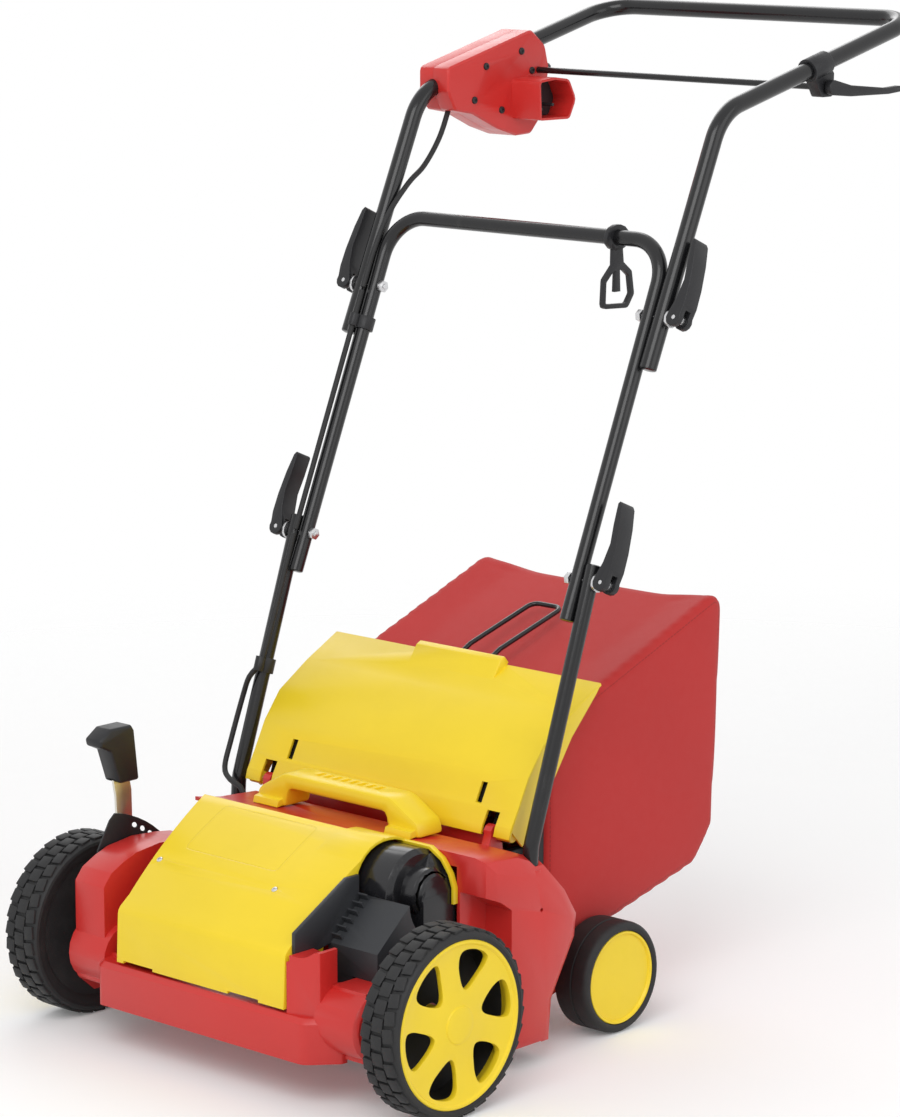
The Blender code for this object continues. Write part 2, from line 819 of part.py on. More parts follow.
# Holes of the deck
barrel_start = (barrel_low_x, motor_y, motor_z)
barrel_room = rod(barrel_start, (barrel_high_x + gap, motor_y, motor_z), barrel_radius + gap, 40)
slot = slab(slot_ring, 0.1400, 0.300)
shaft_hole = rod((0.140, *rotor_place), (0.170, *rotor_place), bearing_radius + gap, 20)
hinge_hole = rod((-0.170, hinge_y, hinge_z), (0.170, hinge_y, hinge_z), hinge_radius + gap, 12)
axle_start = (-0.16, rear_axle_y, rear_wheel_radius)
axle_hole = rod(axle_start, (0.16, rear_axle_y, rear_wheel_radius), axle_radius + gap, 12)
tube_foot = Vector((lower_tube_x, socket_y, socket_z)) - socket_way * gap
tube_hole = rod(tube_foot, socket_mouth + socket_way * 0.02, socket_radius, 14)
bar_room = block((0.1164, -0.090, 0.1430), (0.1212, -0.030, 0.180))
cable_start = (cable_exit_x, cable_exit_y, 0.196)
cable_hole = rod(cable_start, (cable_exit_x, cable_exit_y, 0.240), 0.0046, 12)
handle_pegs = [(x, 0.1325) for x in (-0.095, 0.095)]
cover_screws = [(-0.118, -0.019), (0.048, -0.019)]
screw_radius = 0.002
screw_holes = [rod((x, y, 0.20), (x, y, 0.25), screw_radius + gap, 8) for x, y in handle_pegs]
posts = [rod((x, y, 0.050), (x, y, 0.1788), 0.0055, 8) for x, y in cover_screws]
post_holes = [rod((x, y, 0.150), (x, y, 0.185), screw_radius + gap, 8) for x, y in cover_screws]
deck = joined(deck, *posts)
deck = cut(deck, *post_holes, *screw_holes, cable_hole)
side_hole = grouped(rod((0.2165, 0.181, 0.161), (0.230, 0.181, 0.161), 0.0022, 8))
deck = cut(deck, barrel_room, mirrored(slot), slot, mirrored(shaft_hole), shaft_hole)
deck = cut(deck, hinge_hole, axle_hole, mirrored(tube_hole), tube_hole, bar_room, side_hole)
part("deck", deck, "red_plastic")

# Rotor: drum with its star blades in one piece, shaft, two bearings and pulley
seat_of_bearing = shaft_radius - 0.0005
shaft = turned([
    (0.0, 0.1755), (seat_of_bearing, 0.1755), (seat_of_bearing, wall_low),
    (shaft_radius, wall_low), (shaft_radius, -wall_low), (seat_of_bearing, -wall_low),
    (seat_of_bearing, -0.1635), (0.0, -0.1635),
], (0, rotor_y, rotor_z), steps=12)
part("rotor_shaft", shaft, "bright_steel", "rotor")


def star_blade(centre_x, phase):
    ring = []
    for tooth in range(3):
        base = tooth * 120 + phase
        for radius, angle in ((blade_reach, 0), (0.0320, 32), (0.0230, 84)):
            turn = math.radians(base + angle)
            ring.append((rotor_y + radius * math.cos(turn), rotor_z + radius * math.sin(turn)))
    hole = arc(rotor_place, drum_radius - 0.002, 0, 330, 11)
    return slab(ring, centre_x - blade_thickness / 2, centre_x + blade_thickness / 2, "x", [hole])


drum_end = wall_low - 0.001
drum = turned([
    (drum_radius, drum_end), (drum_radius, -drum_end), (shaft_radius + gap, -drum_end),
    (shaft_radius + gap, drum_end),
], (0, rotor_y, rotor_z), steps=12)
blades = [star_blade(index * blade_pitch, 24 * index + 6) for index in range(-blade_pairs, blade_pairs + 1)]
part("scarifier_blades", joined(drum, *blades), "blade_steel", "rotor")

bearing_low = wall_low + gap
bearing_high = bearing_low + bearing_width
bearing_bore = seat_of_bearing + gap
bearing = turned([
    (bearing_radius, bearing_high), (bearing_radius, bearing_low),
    (bearing_bore, bearing_low), (bearing_bore, bearing_high),
], (0, rotor_y, rotor_z), steps=16)
part("ball_bearing_left", mirrored(bearing), "bright_steel")
part("ball_bearing_right", bearing, "bright_steel")

belt_low = belt_x - belt_width / 2
belt_high = belt_x + belt_width / 2


def pulley_profile(radius, bore):
    rim = radius + 0.0025
    return [
        (rim, belt_high + 0.0015), (rim, belt_high + 0.0004), (radius, belt_high + 0.0004),
        (radius, belt_low - 0.0004), (rim, belt_low - 0.0004), (rim, belt_low - 0.0015),
        (bore, belt_low - 0.0015), (bore, belt_high + 0.0015),
    ]


rotor_pulley = pulley_profile(rotor_pulley_radius, bearing_bore)
rotor_pulley = turned(rotor_pulley, (0, rotor_y, rotor_z), steps=12)
part("rotor_pulley", rotor_pulley, "grey_plastic", "rotor")

# Motor with its shaft, small pulley and fan
bore = motor_shaft_radius + turning_gap
motor_shell = turned([
    (bore, motor_high_x), (motor_radius, motor_high_x), (motor_radius, motor_low_x), (0.0, motor_low_x),
    (0.0, motor_low_x + 0.003), (motor_radius - 0.003, motor_low_x + 0.003),
    (motor_radius - 0.003, motor_high_x - 0.003), (bore, motor_high_x - 0.003),
], (0, motor_y, motor_z), steps=18)
part("motor_body", motor_shell, "motor_silver")
armature = [(0.0, 0.1755), (motor_shaft_radius, 0.1755)]
armature += [(radius, height) for radius, height in pulley_profile(motor_pulley_radius, 0)[:6]]
armature.insert(2, (motor_shaft_radius, belt_high + 0.0015))
armature += [
    (motor_shaft_radius, belt_low - 0.0015),
    (motor_shaft_radius, 0.076), (0.024, 0.076), (0.024, 0.006), (motor_shaft_radius, 0.006),
    (motor_shaft_radius, motor_low_x + 0.005), (0.0, motor_low_x + 0.005),
]
part("motor_shaft", turned(armature, (0, motor_y, motor_z), steps=12), "bright_steel", "motor_rotor")
fan_low = 0.1110
fan_hub = turned([
    (0.010, fan_low + 0.018), (0.010, fan_low + 0.002), (0.036, fan_low + 0.002), (0.036, fan_low),
    (motor_shaft_radius + gap, fan_low), (motor_shaft_radius + gap, fan_low + 0.018),
], (0, motor_y, motor_z), steps=14)
vane_ring = [(0.0090, -0.0008), (0.035, 0.0032), (0.035, 0.0048), (0.0090, 0.0008)]
vane = shifted(slab(vane_ring, fan_low + 0.001, fan_low + 0.015), y=motor_y, z=motor_z)
vanes = []
for index in range(7):
    turn = Matrix.Translation((0, motor_y, motor_z)) @ Matrix.Rotation(index * math.tau / 7, 4, "X")
    vanes.append(copied(vane, turn @ Matrix.Translation((0, -motor_y, -motor_z))))
bpy.data.objects.remove(vane, do_unlink=True)
part("cooling_fan", joined(fan_hub, *vanes), "black_plastic", "motor_rotor")

# Belt around both pulleys


def belt_ring(extra):
    small = motor_pulley_radius + extra
    large = rotor_pulley_radius + extra
    line = Vector((rotor_y - motor_y, rotor_z - motor_z))
    lean = math.degrees(math.asin((large - small) / line.length))
    way = math.degrees(math.atan2(line.y, line.x))
    ring = arc((motor_y, motor_z), small, way + 90 + lean, way + 270 - lean, 7)
    return ring + arc(rotor_place, large, way - 90 - lean, way + 90 + lean, 18)


belt = slab(belt_ring(gap + belt_thickness), belt_low, belt_high, "x", [belt_ring(gap)])
part("drive_belt", belt, "rubber")

# Black drive case: barrel over the fan, boss over the small pulley, box over the belt
case_low_x = 0.1555
case_high_x = 0.1808
case_front = 0.052
case_section = [
    (case_low_x, 0.1213), (case_low_x, 0.2257), (0.1655, 0.2172), (0.1757, 0.2052),
    (case_high_x, 0.1932), (case_high_x, 0.1213),
]
case_side = [
    (case_front, 0.1213), (case_front, 0.188), (0.064, 0.210), (0.088, 0.2262), (front_y - gap, 0.2262),
    (front_y - gap, 0.1213),
]
barrel = rod((barrel_low_x, motor_y, motor_z), (barrel_high_x, motor_y, motor_z), barrel_radius, 32)
barrel = softened(barrel, 0.005, 60, 1, (0, barrel_high_x))
boss_cap = rod((0.150, motor_y, motor_z), (0.1785, motor_y, motor_z), 0.026, 20)
boss_cap = softened(boss_cap, 0.007, 60, 1, (0, 0.1785))
case_box = common(slab(case_section, 0.040, 0.110, "y"), slab(case_side, 0.150, 0.190))
case_inside = offset_ring(case_section, case_wall)
case_inside = [(x, z if z > 0.15 else 0.10) for x, z in case_inside]
case_side_inside = [
    (case_front + case_wall, 0.10), (case_front + case_wall, 0.187), (0.066, 0.208), (0.089, 0.2237),
    (0.120, 0.2237), (0.120, 0.10),
]
case_room = common(slab(case_inside, 0.045, 0.115, "y"), slab(case_side_inside, 0.150, 0.190))
barrel_inside = rod(
    (barrel_low_x + case_wall, motor_y, motor_z), (barrel_high_x - case_wall, motor_y, motor_z),
    barrel_radius - case_wall, 24
)
boss_inside = rod((0.1592, motor_y, motor_z), (0.1785 - case_wall, motor_y, motor_z), 0.0235, 14)
case_bore = rod((0.100, motor_y, motor_z), (0.160, motor_y, motor_z), motor_shaft_radius + 0.002, 12)
drive_case = joined(barrel, boss_cap, case_box)
drive_case = cut(drive_case, joined(case_room, boss_inside, case_bore, barrel_inside))
part("drive_case", drive_case, "black_plastic")

# Grey intake housing in front of the barrel, with its raised bar and cooling fins
intake_low_x = 0.1168
intake_high_x = 0.1840
bar_high_x = intake_low_x + 0.004
slope_rise = 0.87
intake_ring = [
    (-0.0170, 0.1213), (-0.0170, 0.1500), (0.0430, 0.2020), (0.0470, 0.2020), (0.0470, 0.1213)
]
intake = slab(intake_ring, intake_low_x + 0.0003, intake_high_x)
apron = block((intake_low_x + 0.0003, -0.0164, 0.1040), (nose_low - gap, 0.030, 0.130))
intake = joined(intake, apron)
intake_room = slab([
    (-0.0145, 0.09), (-0.0145, 0.1489), (0.0430, 0.1988), (0.060, 0.1988), (0.060, 0.09)
], bar_high_x + 0.0005, intake_high_x - case_wall)
intake = cut(intake, intake_room)
bar_ring = [
    (-0.0670, 0.1440), (-0.0670, 0.1695), (0.0060, 0.2105), (0.0240, 0.2105), (0.0240, 0.1500),
    (-0.0100, 0.1500), (-0.0450, 0.1440),
]
bar = softened(slab(bar_ring, intake_low_x, bar_high_x), 0.0012, 40, 2, (0, bar_high_x))
fins = []
for index in range(6):
    y = -0.012 + index * 0.0075
    z = 0.1500 + (y + 0.0170) * slope_rise
    fin = [(y, z - 0.002), (y - 0.0045, z + 0.0050), (y - 0.0030, z + 0.0060), (y + 0.0020, z - 0.001)]
    fins.append(slab(fin, bar_high_x - 0.001, bar_high_x + 0.012))
intake = joined(intake, bar, *fins)
intake = cut(
    intake,
    rod((0.100, motor_y, motor_z), (0.200, motor_y, motor_z), barrel_radius + gap, 40),
    slab(slot_ring, 0.100, 0.200),
)
part("intake_housing", intake, "grey_plastic")

# Yellow motor cover with the hump over the motor and the strip around the drive case
cover_wall = 0.003
cover_ring = rounded([
    (-0.0790, 0.0945), (-0.0765, 0.1490, 0.008), (0.0645, 0.2400, 0.001), (0.0655, 0.2368),
    (0.0615, 0.2362), (0.0612, 0.2220), (0.0300, 0.2000), (-0.0200, 0.1500), (-0.0450, 0.0945),
], 2)
cover_plan = [
    (-0.1235, -0.095), (-0.1215, -0.060), (-0.1430, 0.080), (intake_low_x - gap, 0.080),
    (intake_low_x - gap, -0.095),
]
cover_out = common(slab(cover_ring, -0.16, 0.14), slab(cover_plan, 0.05, 0.28, "z"))
room_ring = rounded([
    (-0.0760, 0.05), (-0.0736, 0.1474, 0.006), (0.0610, 0.2346), (0.0610, 0.05)
], 2)
room_plan = [
    (-0.1205, -0.100), (-0.1185, -0.060), (-0.1405, 0.090), (intake_low_x - gap - cover_wall, 0.090),
    (intake_low_x - gap - cover_wall, -0.100),
]
cover_room = common(slab(room_ring, -0.16, 0.14), slab(room_plan, 0.02, 0.30, "z"))
hump_out = softened(
    rod((0.050, motor_y, motor_z), (intake_low_x - gap, motor_y, motor_z), barrel_radius + 0.0057, 32),
    0.012, 60, 2, (0, 0.050)
)
hump_box = block((0.0, -0.02, 0.205), (0.20, front_y - gap, 0.26))
hump_out = common(hump_out, hump_box)
hump_room = softened(
    rod((0.053, motor_y, motor_z), (0.15, motor_y, motor_z), barrel_radius + 0.0027, 32),
    0.010, 60, 1, (0, 0.053)
)
strip = slab([
    (0.1080, 0.2315), (0.1520, 0.2315), (0.1685, 0.2225), (0.1795, 0.2085), (0.1845, 0.1950),
    (0.1845, 0.1780), (0.1815, 0.1780), (0.1815, 0.1945), (0.1768, 0.2072), (0.1667, 0.2198),
    (0.1512, 0.2285), (0.1080, 0.2285),
], 0.0915, front_y - gap, "y")
cover = joined(cover_out, hump_out)
motor_room = rod((-0.030, motor_y, motor_z), (0.056, motor_y, motor_z), motor_radius + 0.0022, 28)
cover = cut(cover, cover_room, joined(hump_room, motor_room))
cover = joined(cover, strip)
edge_slots = [block((low, -0.09, 0.090), (low + 0.043, -0.070, 0.0972)) for low in (-0.113, 0.038)]
cover_holes = []
for x, y in cover_screws:
    cover_holes.append(rod((x, y, 0.150), (x, y, 0.210), screw_radius + gap, 8))
    cover_holes.append(rod((x, y, 0.1866), (x, y, 0.210), 0.0038, 10))
cover = cut(cover, *edge_slots, *cover_holes)
part("motor_cover", cover, "yellow_plastic")

# Carrying handle with its slot, eight small recesses and the two pegs that rivet it to the deck
handle_outline = rounded([
    (-0.1165, 0.2277), (-0.1130, 0.2430, 0.010), (-0.0760, 0.2640, 0.022), (0.0760, 0.2640, 0.022),
    (0.1130, 0.2430, 0.010), (0.1165, 0.2277), (0.0730, 0.2277), (0.0690, 0.2480, 0.007),
    (-0.0690, 0.2480, 0.007), (-0.0730, 0.2277),
], 2)
carry_handle = softened(slab(handle_outline, 0.1140, 0.1510, "y"), 0.004, 60, 2)
handle_foot = slab([(0.1052, 0.2286), (0.1075, 0.2352), (0.1290, 0.2391), (0.1290, 0.2299)], 0.0762, 0.1118)
carry_handle = joined(carry_handle, mirrored(handle_foot), handle_foot)
recesses = []
for index in range(8):
    x = -0.042 + index * 0.012
    recesses.append(block((x - 0.0035, 0.1290, 0.2605), (x + 0.0035, 0.1420, 0.2700)))
pegs = []
for x, y in handle_pegs:
    pegs.append(rod((x, y, 0.2195), (x, y, 0.2400), screw_radius, 8))
    pegs.append(rod((x, y, 0.2190), (x, y, 0.2212), 0.0040, 10))
carry_handle = joined(cut(carry_handle, *recesses), pegs[0], pegs[2])
part("carry_handle", joined(carry_handle, pegs[1], pegs[3]), "yellow_plastic")


def screw(head, tip, head_radius, head_height):
    head = Vector(head)
    tip = Vector(tip)
    way = (tip - head).normalized()
    shank = rod(head + way * head_height * 0.5, tip, screw_radius, 6)
    return joined(rod(head, head + way * head_height, head_radius, 10), shank)


for side, (x, y) in zip(("left", "right"), cover_screws):
    part("cover_screw_" + side, screw((x, y, 0.1891), (x, y, 0.1535), 0.0034, 0.0022), "bright_steel")

# Depth sector: fixed plate on the deck side around the lifting front axle
sector_low_x = -0.2093
sector_high_x = sector_low_x + sector_thickness
pivot = (pivot_y, pivot_z)
stud_radius = 0.004
sector_ring = [
    *arc(pivot, sector_radius, 44, 79, 7),
    (-0.0085, 0.2130), (-0.0250, 0.1850), (-0.0400, 0.1400), (-0.0440, 0.0900),
    *arc(pivot, 0.017, 200, 270, 5), (0.0200, 0.0740), (0.0330, 0.0900), (0.0380, 0.1300),
]
sector = slab(rounded(sector_ring), sector_low_x, sector_high_x)
sector_tools = [slab(slot_ring, -0.22, -0.20)]
for turn in (64.8, 58.9, 53.0):
    centre = arc(pivot, 0.1237, turn, turn, 1)[0]
    oval = [(0.0045 * math.cos(a), 0.0028 * math.sin(a)) for a in [math.tau * n / 10 for n in range(10)]]
    angle = math.radians(turn + 90)
    oval = [
        (
            centre[0] + u * math.cos(angle) - v * math.sin(angle),
            centre[1] + u * math.sin(angle) + v * math.cos(angle),
        )
        for u, v in oval
    ]
    sector_tools.append(slab(oval, -0.22, -0.20))
sector = cut(sector, *sector_tools)
lever_high_x = sector_low_x - gap
lever_low_x = lever_high_x - lever_plate_thickness
stud = turned([
    (0.0, sector_low_x + 0.001), (stud_radius, sector_low_x + 0.001), (stud_radius, lever_low_x - gap),
    (0.0068, lever_low_x - gap), (0.0060, lever_low_x - 0.0026), (0.0, lever_low_x - 0.0028),
], (0, pivot_y, pivot_z), steps=12)
part("depth_sector", joined(sector, stud), "black_plastic")

# Depth lever: steel plate that turns on the stud and lifts the axle with its curved slot
full_turn = math.radians(17.7)
cam_points = []
for step in range(5):
    share = step / 4
    turn = share * full_turn
    away = Vector((-pivot_y, front_wheel_radius - pivot_z + share * axle_lift))
    turned_way = Matrix.Rotation(turn, 2) @ away
    cam_points.append((pivot_y + turned_way.x, pivot_z + turned_way.y))


def band(points, half):
    left = []
    right = []
    for index, point in enumerate(points):
        back = Vector(points[max(index - 1, 0)])
        ahead = Vector(points[min(index + 1, len(points) - 1)])
        way = (ahead - back).normalized()
        side = Vector((-way.y, way.x)) * half
        left.append(tuple(Vector(point) + side))
        right.append(tuple(Vector(point) - side))
    start_way = Vector(points[1]) - Vector(points[0])
    end_way = Vector(points[-1]) - Vector(points[-2])
    start = math.degrees(math.atan2(start_way.y, start_way.x))
    end = math.degrees(math.atan2(end_way.y, end_way.x))
    ring = right + arc(points[-1], half, end - 80, end + 80, 5) + left[::-1]
    return ring + arc(points[0], half, start + 100, start + 260, 5)


lever_plate = slab(band(cam_points, axle_radius + gap + 0.005), lever_low_x, lever_high_x)
lever_disc = slab(arc(pivot, 0.0130, 0, 336, 14), lever_low_x + 0.00001, lever_high_x - 0.00001)
stem_ring = [
    (-0.0364, 0.0935), (0.0040, 0.2140), (0.0030, 0.2360), (-0.0085, 0.2980), (0.0125, 0.3005),
    (0.0245, 0.2400), (0.0250, 0.2120), (-0.0156, 0.0865),
]
stem_plate = slab(stem_ring, lever_low_x - 0.00001, lever_high_x + 0.00001)
link_plate = slab(
    [(-0.030, 0.078), (0.000, 0.085), (0.012, 0.108), (-0.018, 0.125)],
    lever_low_x + 0.00002, lever_high_x - 0.00002,
)
lever = joined(stem_plate, lever_plate, lever_disc, link_plate)
lever = cut(
    lever,
    slab(band(cam_points, axle_radius + gap), -0.22, -0.20),
    slab(arc(pivot, stud_radius + gap, 0, 330, 11), -0.22, -0.20),
)
part("depth_lever", lever, "zinc_steel", "depth_setting")
grip_ring = rounded([
    (0.0000, 0.2520), (-0.0120, 0.2880), (-0.0260, 0.2945, 0.003), (-0.0275, 0.3015, 0.003),
    (-0.0120, 0.3120), (0.0170, 0.3120, 0.003), (0.0210, 0.3060), (0.0270, 0.2520),
], 2)
grip = softened(slab(grip_ring, -0.2235, -0.1990), 0.0028, 50, 2)
stem_room = slab(offset_ring(stem_ring, -gap), lever_low_x - gap, lever_high_x + gap)
part("depth_grip", cut(grip, stem_room), "black_plastic", "depth_setting")

# Rear flap with its knuckles, raised lip, notches and slots
flap_line = [
    (0.1690, 0.2290), (0.1715, 0.2380), (0.1830, 0.2580), (0.1985, 0.2880),
    (0.2210, 0.3170), (0.2626, 0.3430), (0.3090, 0.3670),
]
flap_under = []
for index, point in enumerate(flap_line):
    back = Vector(flap_line[max(index - 1, 0)])
    ahead = Vector(flap_line[min(index + 1, len(flap_line) - 1)])
    way = (ahead - back).normalized()
    flap_under.append((point[0] + way.y * flap_thickness, point[1] - way.x * flap_thickness))
flap_sheet = slab(flap_line + flap_under[::-1], -flap_half, flap_half)
cheek_top = [((a[0] + b[0]) / 2, (a[1] + b[1]) / 2) for a, b in zip(flap_line, flap_under)][1:]
cheek_ring = cheek_top + [(0.3030, 0.3570), (0.2650, 0.3180), (0.2300, 0.2680), (0.1900, 0.2180)]
cheek = slab(cheek_ring, flap_half - flap_thickness, flap_half - 0.0002)
lip_ring = rounded([
    (0.2850, 0.3530), (0.2990, 0.3785, 0.003), (0.3060, 0.3815, 0.002), (0.3125, 0.3690), (0.3075, 0.3640)
], 3)
lip = softened(slab(lip_ring, -0.060, 0.060), 0.002, 60, 2, (0, 0.060))
knuckle_x = 0.1675
knuckle = rod((knuckle_x, hinge_y, hinge_z), (0.1855, hinge_y, hinge_z), 0.0068, 16)
web_ring = [(0.1705, 0.2300), (0.1780, 0.2245), (0.1790, 0.2390), (0.1725, 0.2400)]
web = slab(web_ring, knuckle_x + 0.0002, 0.1856)
knuckle = joined(knuckle, web)
cheek_left = mirrored(cheek)
knuckle_left = mirrored(knuckle)
flap = joined(flap_sheet, cheek, cheek_left, lip, knuckle, knuckle_left)
flap_tools = []
for side in (-1, 1):
    low, high = sorted((side * 0.150, side * 0.167))
    flap_tools.append(block((low, 0.150, 0.215), (high, 0.190, 0.252)))
    low, high = sorted((side * 0.131, side * 0.139))
    flap_tools.append(block((low, 0.170, 0.256), (high, 0.200, 0.276)))
    flap_tools.append(rod(
        (side * 0.160, hinge_y, hinge_z), (side * 0.1838, hinge_y, hinge_z), hinge_radius + gap, 12
    ))
part("rear_flap", cut(flap, *flap_tools), "yellow_plastic", "flap_body")
hinge_rod = rod((-0.1835, hinge_y, hinge_z), (0.1835, hinge_y, hinge_z), hinge_radius, 12)
part("flap_hinge_rod", hinge_rod, "bright_steel")

# Folding handle: two lower tubes, the middle U with its crossbar, the upper U
tube_wall = 0.0012


def tube(points, radius, steps=3, holes=()):
    inside = []
    for place in points:
        inside.append(tuple(place))
    first = Vector(points[0][:3])
    last = Vector(points[-1][:3])
    inside[0] = tuple(first + (first - Vector(points[1][:3])).normalized() * 0.002)
    inside[-1] = tuple(last + (last - Vector(points[-2][:3])).normalized() * 0.002)
    bore_of_tube = pipe(inside, radius - tube_wall, steps, False, 1)
    return cut(pipe(points, radius, steps), *holes, bore_of_tube)


def on_line(x, start, way, length):
    return tuple(Vector((x, start[1], start[2])) + way * length)


lower_joint = Vector((0, lower_fold_y, lower_fold_z))
upper_joint = Vector((0, upper_fold_y, upper_fold_z))
bolt_hole = bolt_radius + gap


def bolt_tool(x, joint):
    return rod((x - 0.014, joint.y, joint.z), (x + 0.014, joint.y, joint.z), bolt_hole, 9)


def lower_tube(side):
    x = side * lower_tube_x
    points = [
        on_line(x, (0, socket_y, socket_z), socket_way, 0.0),
        (x, bend_y, bend_z, 0.040),
        on_line(x, lower_joint, lower_way, 0.016),
    ]
    return tube(points, lower_tube_radius, 3, [bolt_tool(x, lower_joint)])


part("lower_tube_right", lower_tube(1), "black_tube")
part("lower_tube_left", lower_tube(-1), "black_tube")

crossbar = Vector((0, crossbar_y, crossbar_z))
middle_points = [
    on_line(middle_tube_x, lower_joint, middle_way, -0.042),
    (middle_tube_x, crossbar_y, crossbar_z, 0.045),
    (-middle_tube_x, crossbar_y, crossbar_z, 0.045),
    on_line(-middle_tube_x, lower_joint, middle_way, -0.042),
]
bolt_tools = []
for x in (-middle_tube_x, middle_tube_x):
    bolt_tools += [bolt_tool(x, lower_joint), bolt_tool(x, upper_joint)]
middle_tube = tube(middle_points, middle_tube_radius, 4, bolt_tools)
part("middle_tube", middle_tube, "black_tube", "middle_handle")

grip_x = 0.214
upper_points = [
    on_line(upper_tube_x, upper_joint, upper_way, -0.054),
    (upper_tube_x, shoulder_y, shoulder_z, 0.060),
    (grip_x, grip_y, grip_z, 0.040),
    (-grip_x, grip_y, grip_z, 0.040),
    (-upper_tube_x, shoulder_y, shoulder_z, 0.060),
    on_line(-upper_tube_x, upper_joint, upper_way, -0.054),
]
bolt_tools = [bolt_tool(-upper_tube_x, upper_joint), bolt_tool(upper_tube_x, upper_joint)]
handle_tube = tube(upper_points, upper_tube_radius, 3, bolt_tools)
part("handle_tube", handle_tube, "black_tube", "upper_handle")

# Clamp bolts at the four fold joints, each with its eye, cross pin, washer and nut in one piece
eye_half = 0.0040


def lever_pin_x(outer_face):
    return outer_face + gap + washer_thickness + gap + cam_radius


lower_pin_x = lever_pin_x(lower_tube_x + lower_tube_radius)
upper_pin_x = lever_pin_x(upper_tube_x + upper_tube_radius)


def joint_matrix(x, joint, way):
    across = Vector((0, -way.z, way.y))
    matrix = Matrix.Identity(4)
    for row in range(3):
        matrix[row][0] = (1.0, 0.0, 0.0)[row]
        matrix[row][1] = way[row]
        matrix[row][2] = across[row]
    return Matrix.Translation((x, joint.y, joint.z)) @ matrix


def clamp(pin_x, joint, way):
    place = joint_matrix(pin_x, joint, way)
    inner_x = middle_tube_x - middle_tube_radius
    nut_low = inner_x - gap - 0.0055 - pin_x
    bolt = rod((nut_low - 0.002, 0, 0), (-0.002, 0, 0), bolt_radius, 6)
    eye = rod((0, 0, -eye_half), (0, 0, eye_half), 0.0055, 10)
    bolt = joined(bolt, eye)
    pin = rod((0, 0, 0.0005 - lever_width / 2), (0, 0, lever_width / 2 - 0.0005), pin_radius, 6)
    washer_high = -cam_radius - gap
    washer = rod((washer_high - washer_thickness, 0, 0), (washer_high, 0, 0), washer_radius, 12)
    nut = rod((nut_low, 0, 0), (nut_low + 0.0055, 0, 0), 0.0065, 6)
    return moved(joined(bolt, pin, washer, nut), place)


clamps = (
    ("lower", lower_pin_x, lower_joint, middle_way, "frame"),
    ("upper", upper_pin_x, upper_joint, upper_way, "upper_handle"),
)
for level, pin_x, joint, way, home in clamps:
    right_clamp = clamp(pin_x, joint, way)
    part("clamp_bolt_" + level + "_left", mirrored(right_clamp), "bright_steel", home)
    part("clamp_bolt_" + level + "_right", right_clamp, "bright_steel", home)

# Quick release levers, each a cam with a fork that turns on its cross pin


def release_lever():
    cam = arc((0, 0), cam_radius, 155, 385, 8)
    ring = cam + [
        (0.0098, 0.0150), (0.0092, 0.0350), (0.0062, 0.0600), (0.0020, 0.0800), (-0.0010, 0.0838),
        (-0.0030, 0.0815), (-0.0018, 0.0600), (0.0005, 0.0400), (-0.0025, 0.0200), (-0.0060, 0.0100),
    ]
    solid = slab(ring, -lever_width / 2, lever_width / 2, "z")
    fork = block((-0.020, -0.020, -eye_half - gap), (0.020, 0.0095, eye_half + gap))
    hole = rod((0, 0, -0.02), (0, 0, 0.02), pin_radius + gap, 8)
    return cut(solid, fork, hole)


for level, pin_x, joint, way, home in clamps:
    right = moved(release_lever(), joint_matrix(pin_x, joint, way))
    left = mirrored(right)
    for side, solid, x in (("right", right, pin_x), ("left", left, -pin_x)):
        name = "release_" + level + "_" + side
        body(name + "_body", (x, joint.y, joint.z), home)
        part("quick_" + name, solid, "black_plastic", name + "_body")

# Hook that holds the mains cord, hung from the crossbar
hook_x = 0.122
body("hook_body", (hook_x, crossbar_y, crossbar_z), "middle_handle")
hook_low = hook_x - 0.0025
hook_high = hook_x + 0.0025


def beside(points):
    return [(crossbar_y + point[0], crossbar_z + point[1], *point[2:]) for point in points]


ring_out = [(0.0180 * math.cos(a), 0.0135 * math.sin(a)) for a in [math.tau * n / 14 for n in range(14)]]
hook_solid = slab(beside(ring_out), hook_low, hook_high)
loop_out = rounded(beside([
    (-0.0070, -0.0080), (-0.0075, -0.0280), (-0.0220, -0.0420, 0.004), (-0.0240, -0.0720, 0.005),
    (0.0160, -0.0740, 0.006), (0.0260, -0.0600, 0.004), (0.0220, -0.0360, 0.004), (0.0090, -0.0260),
    (0.0070, -0.0080),
]), 2)
loop_in = rounded(beside([
    (-0.0182, -0.0450, 0.002), (-0.0070, -0.0345), (0.0080, -0.0335), (0.0175, -0.0405, 0.002),
    (0.0205, -0.0595, 0.003), (0.0135, -0.0690, 0.003), (-0.0192, -0.0675, 0.002),
]), 2)
tongue = slab(beside([
    (-0.0035, -0.0320), (-0.0045, -0.0560), (0.0045, -0.0560), (0.0035, -0.0320)
]), hook_low + 0.0005, hook_high - 0.0005)
hook_solid = joined(hook_solid, slab(loop_out, hook_low + 0.00001, hook_high - 0.00001))
hook_solid = cut(
    hook_solid,
    rod((0.10, crossbar_y, crossbar_z), (0.14, crossbar_y, crossbar_z), middle_tube_radius + gap, 14),
    slab(loop_in, hook_low - 0.002, hook_high + 0.002),
)
part("cable_hook", joined(hook_solid, tongue), "black_plastic", "hook_body")

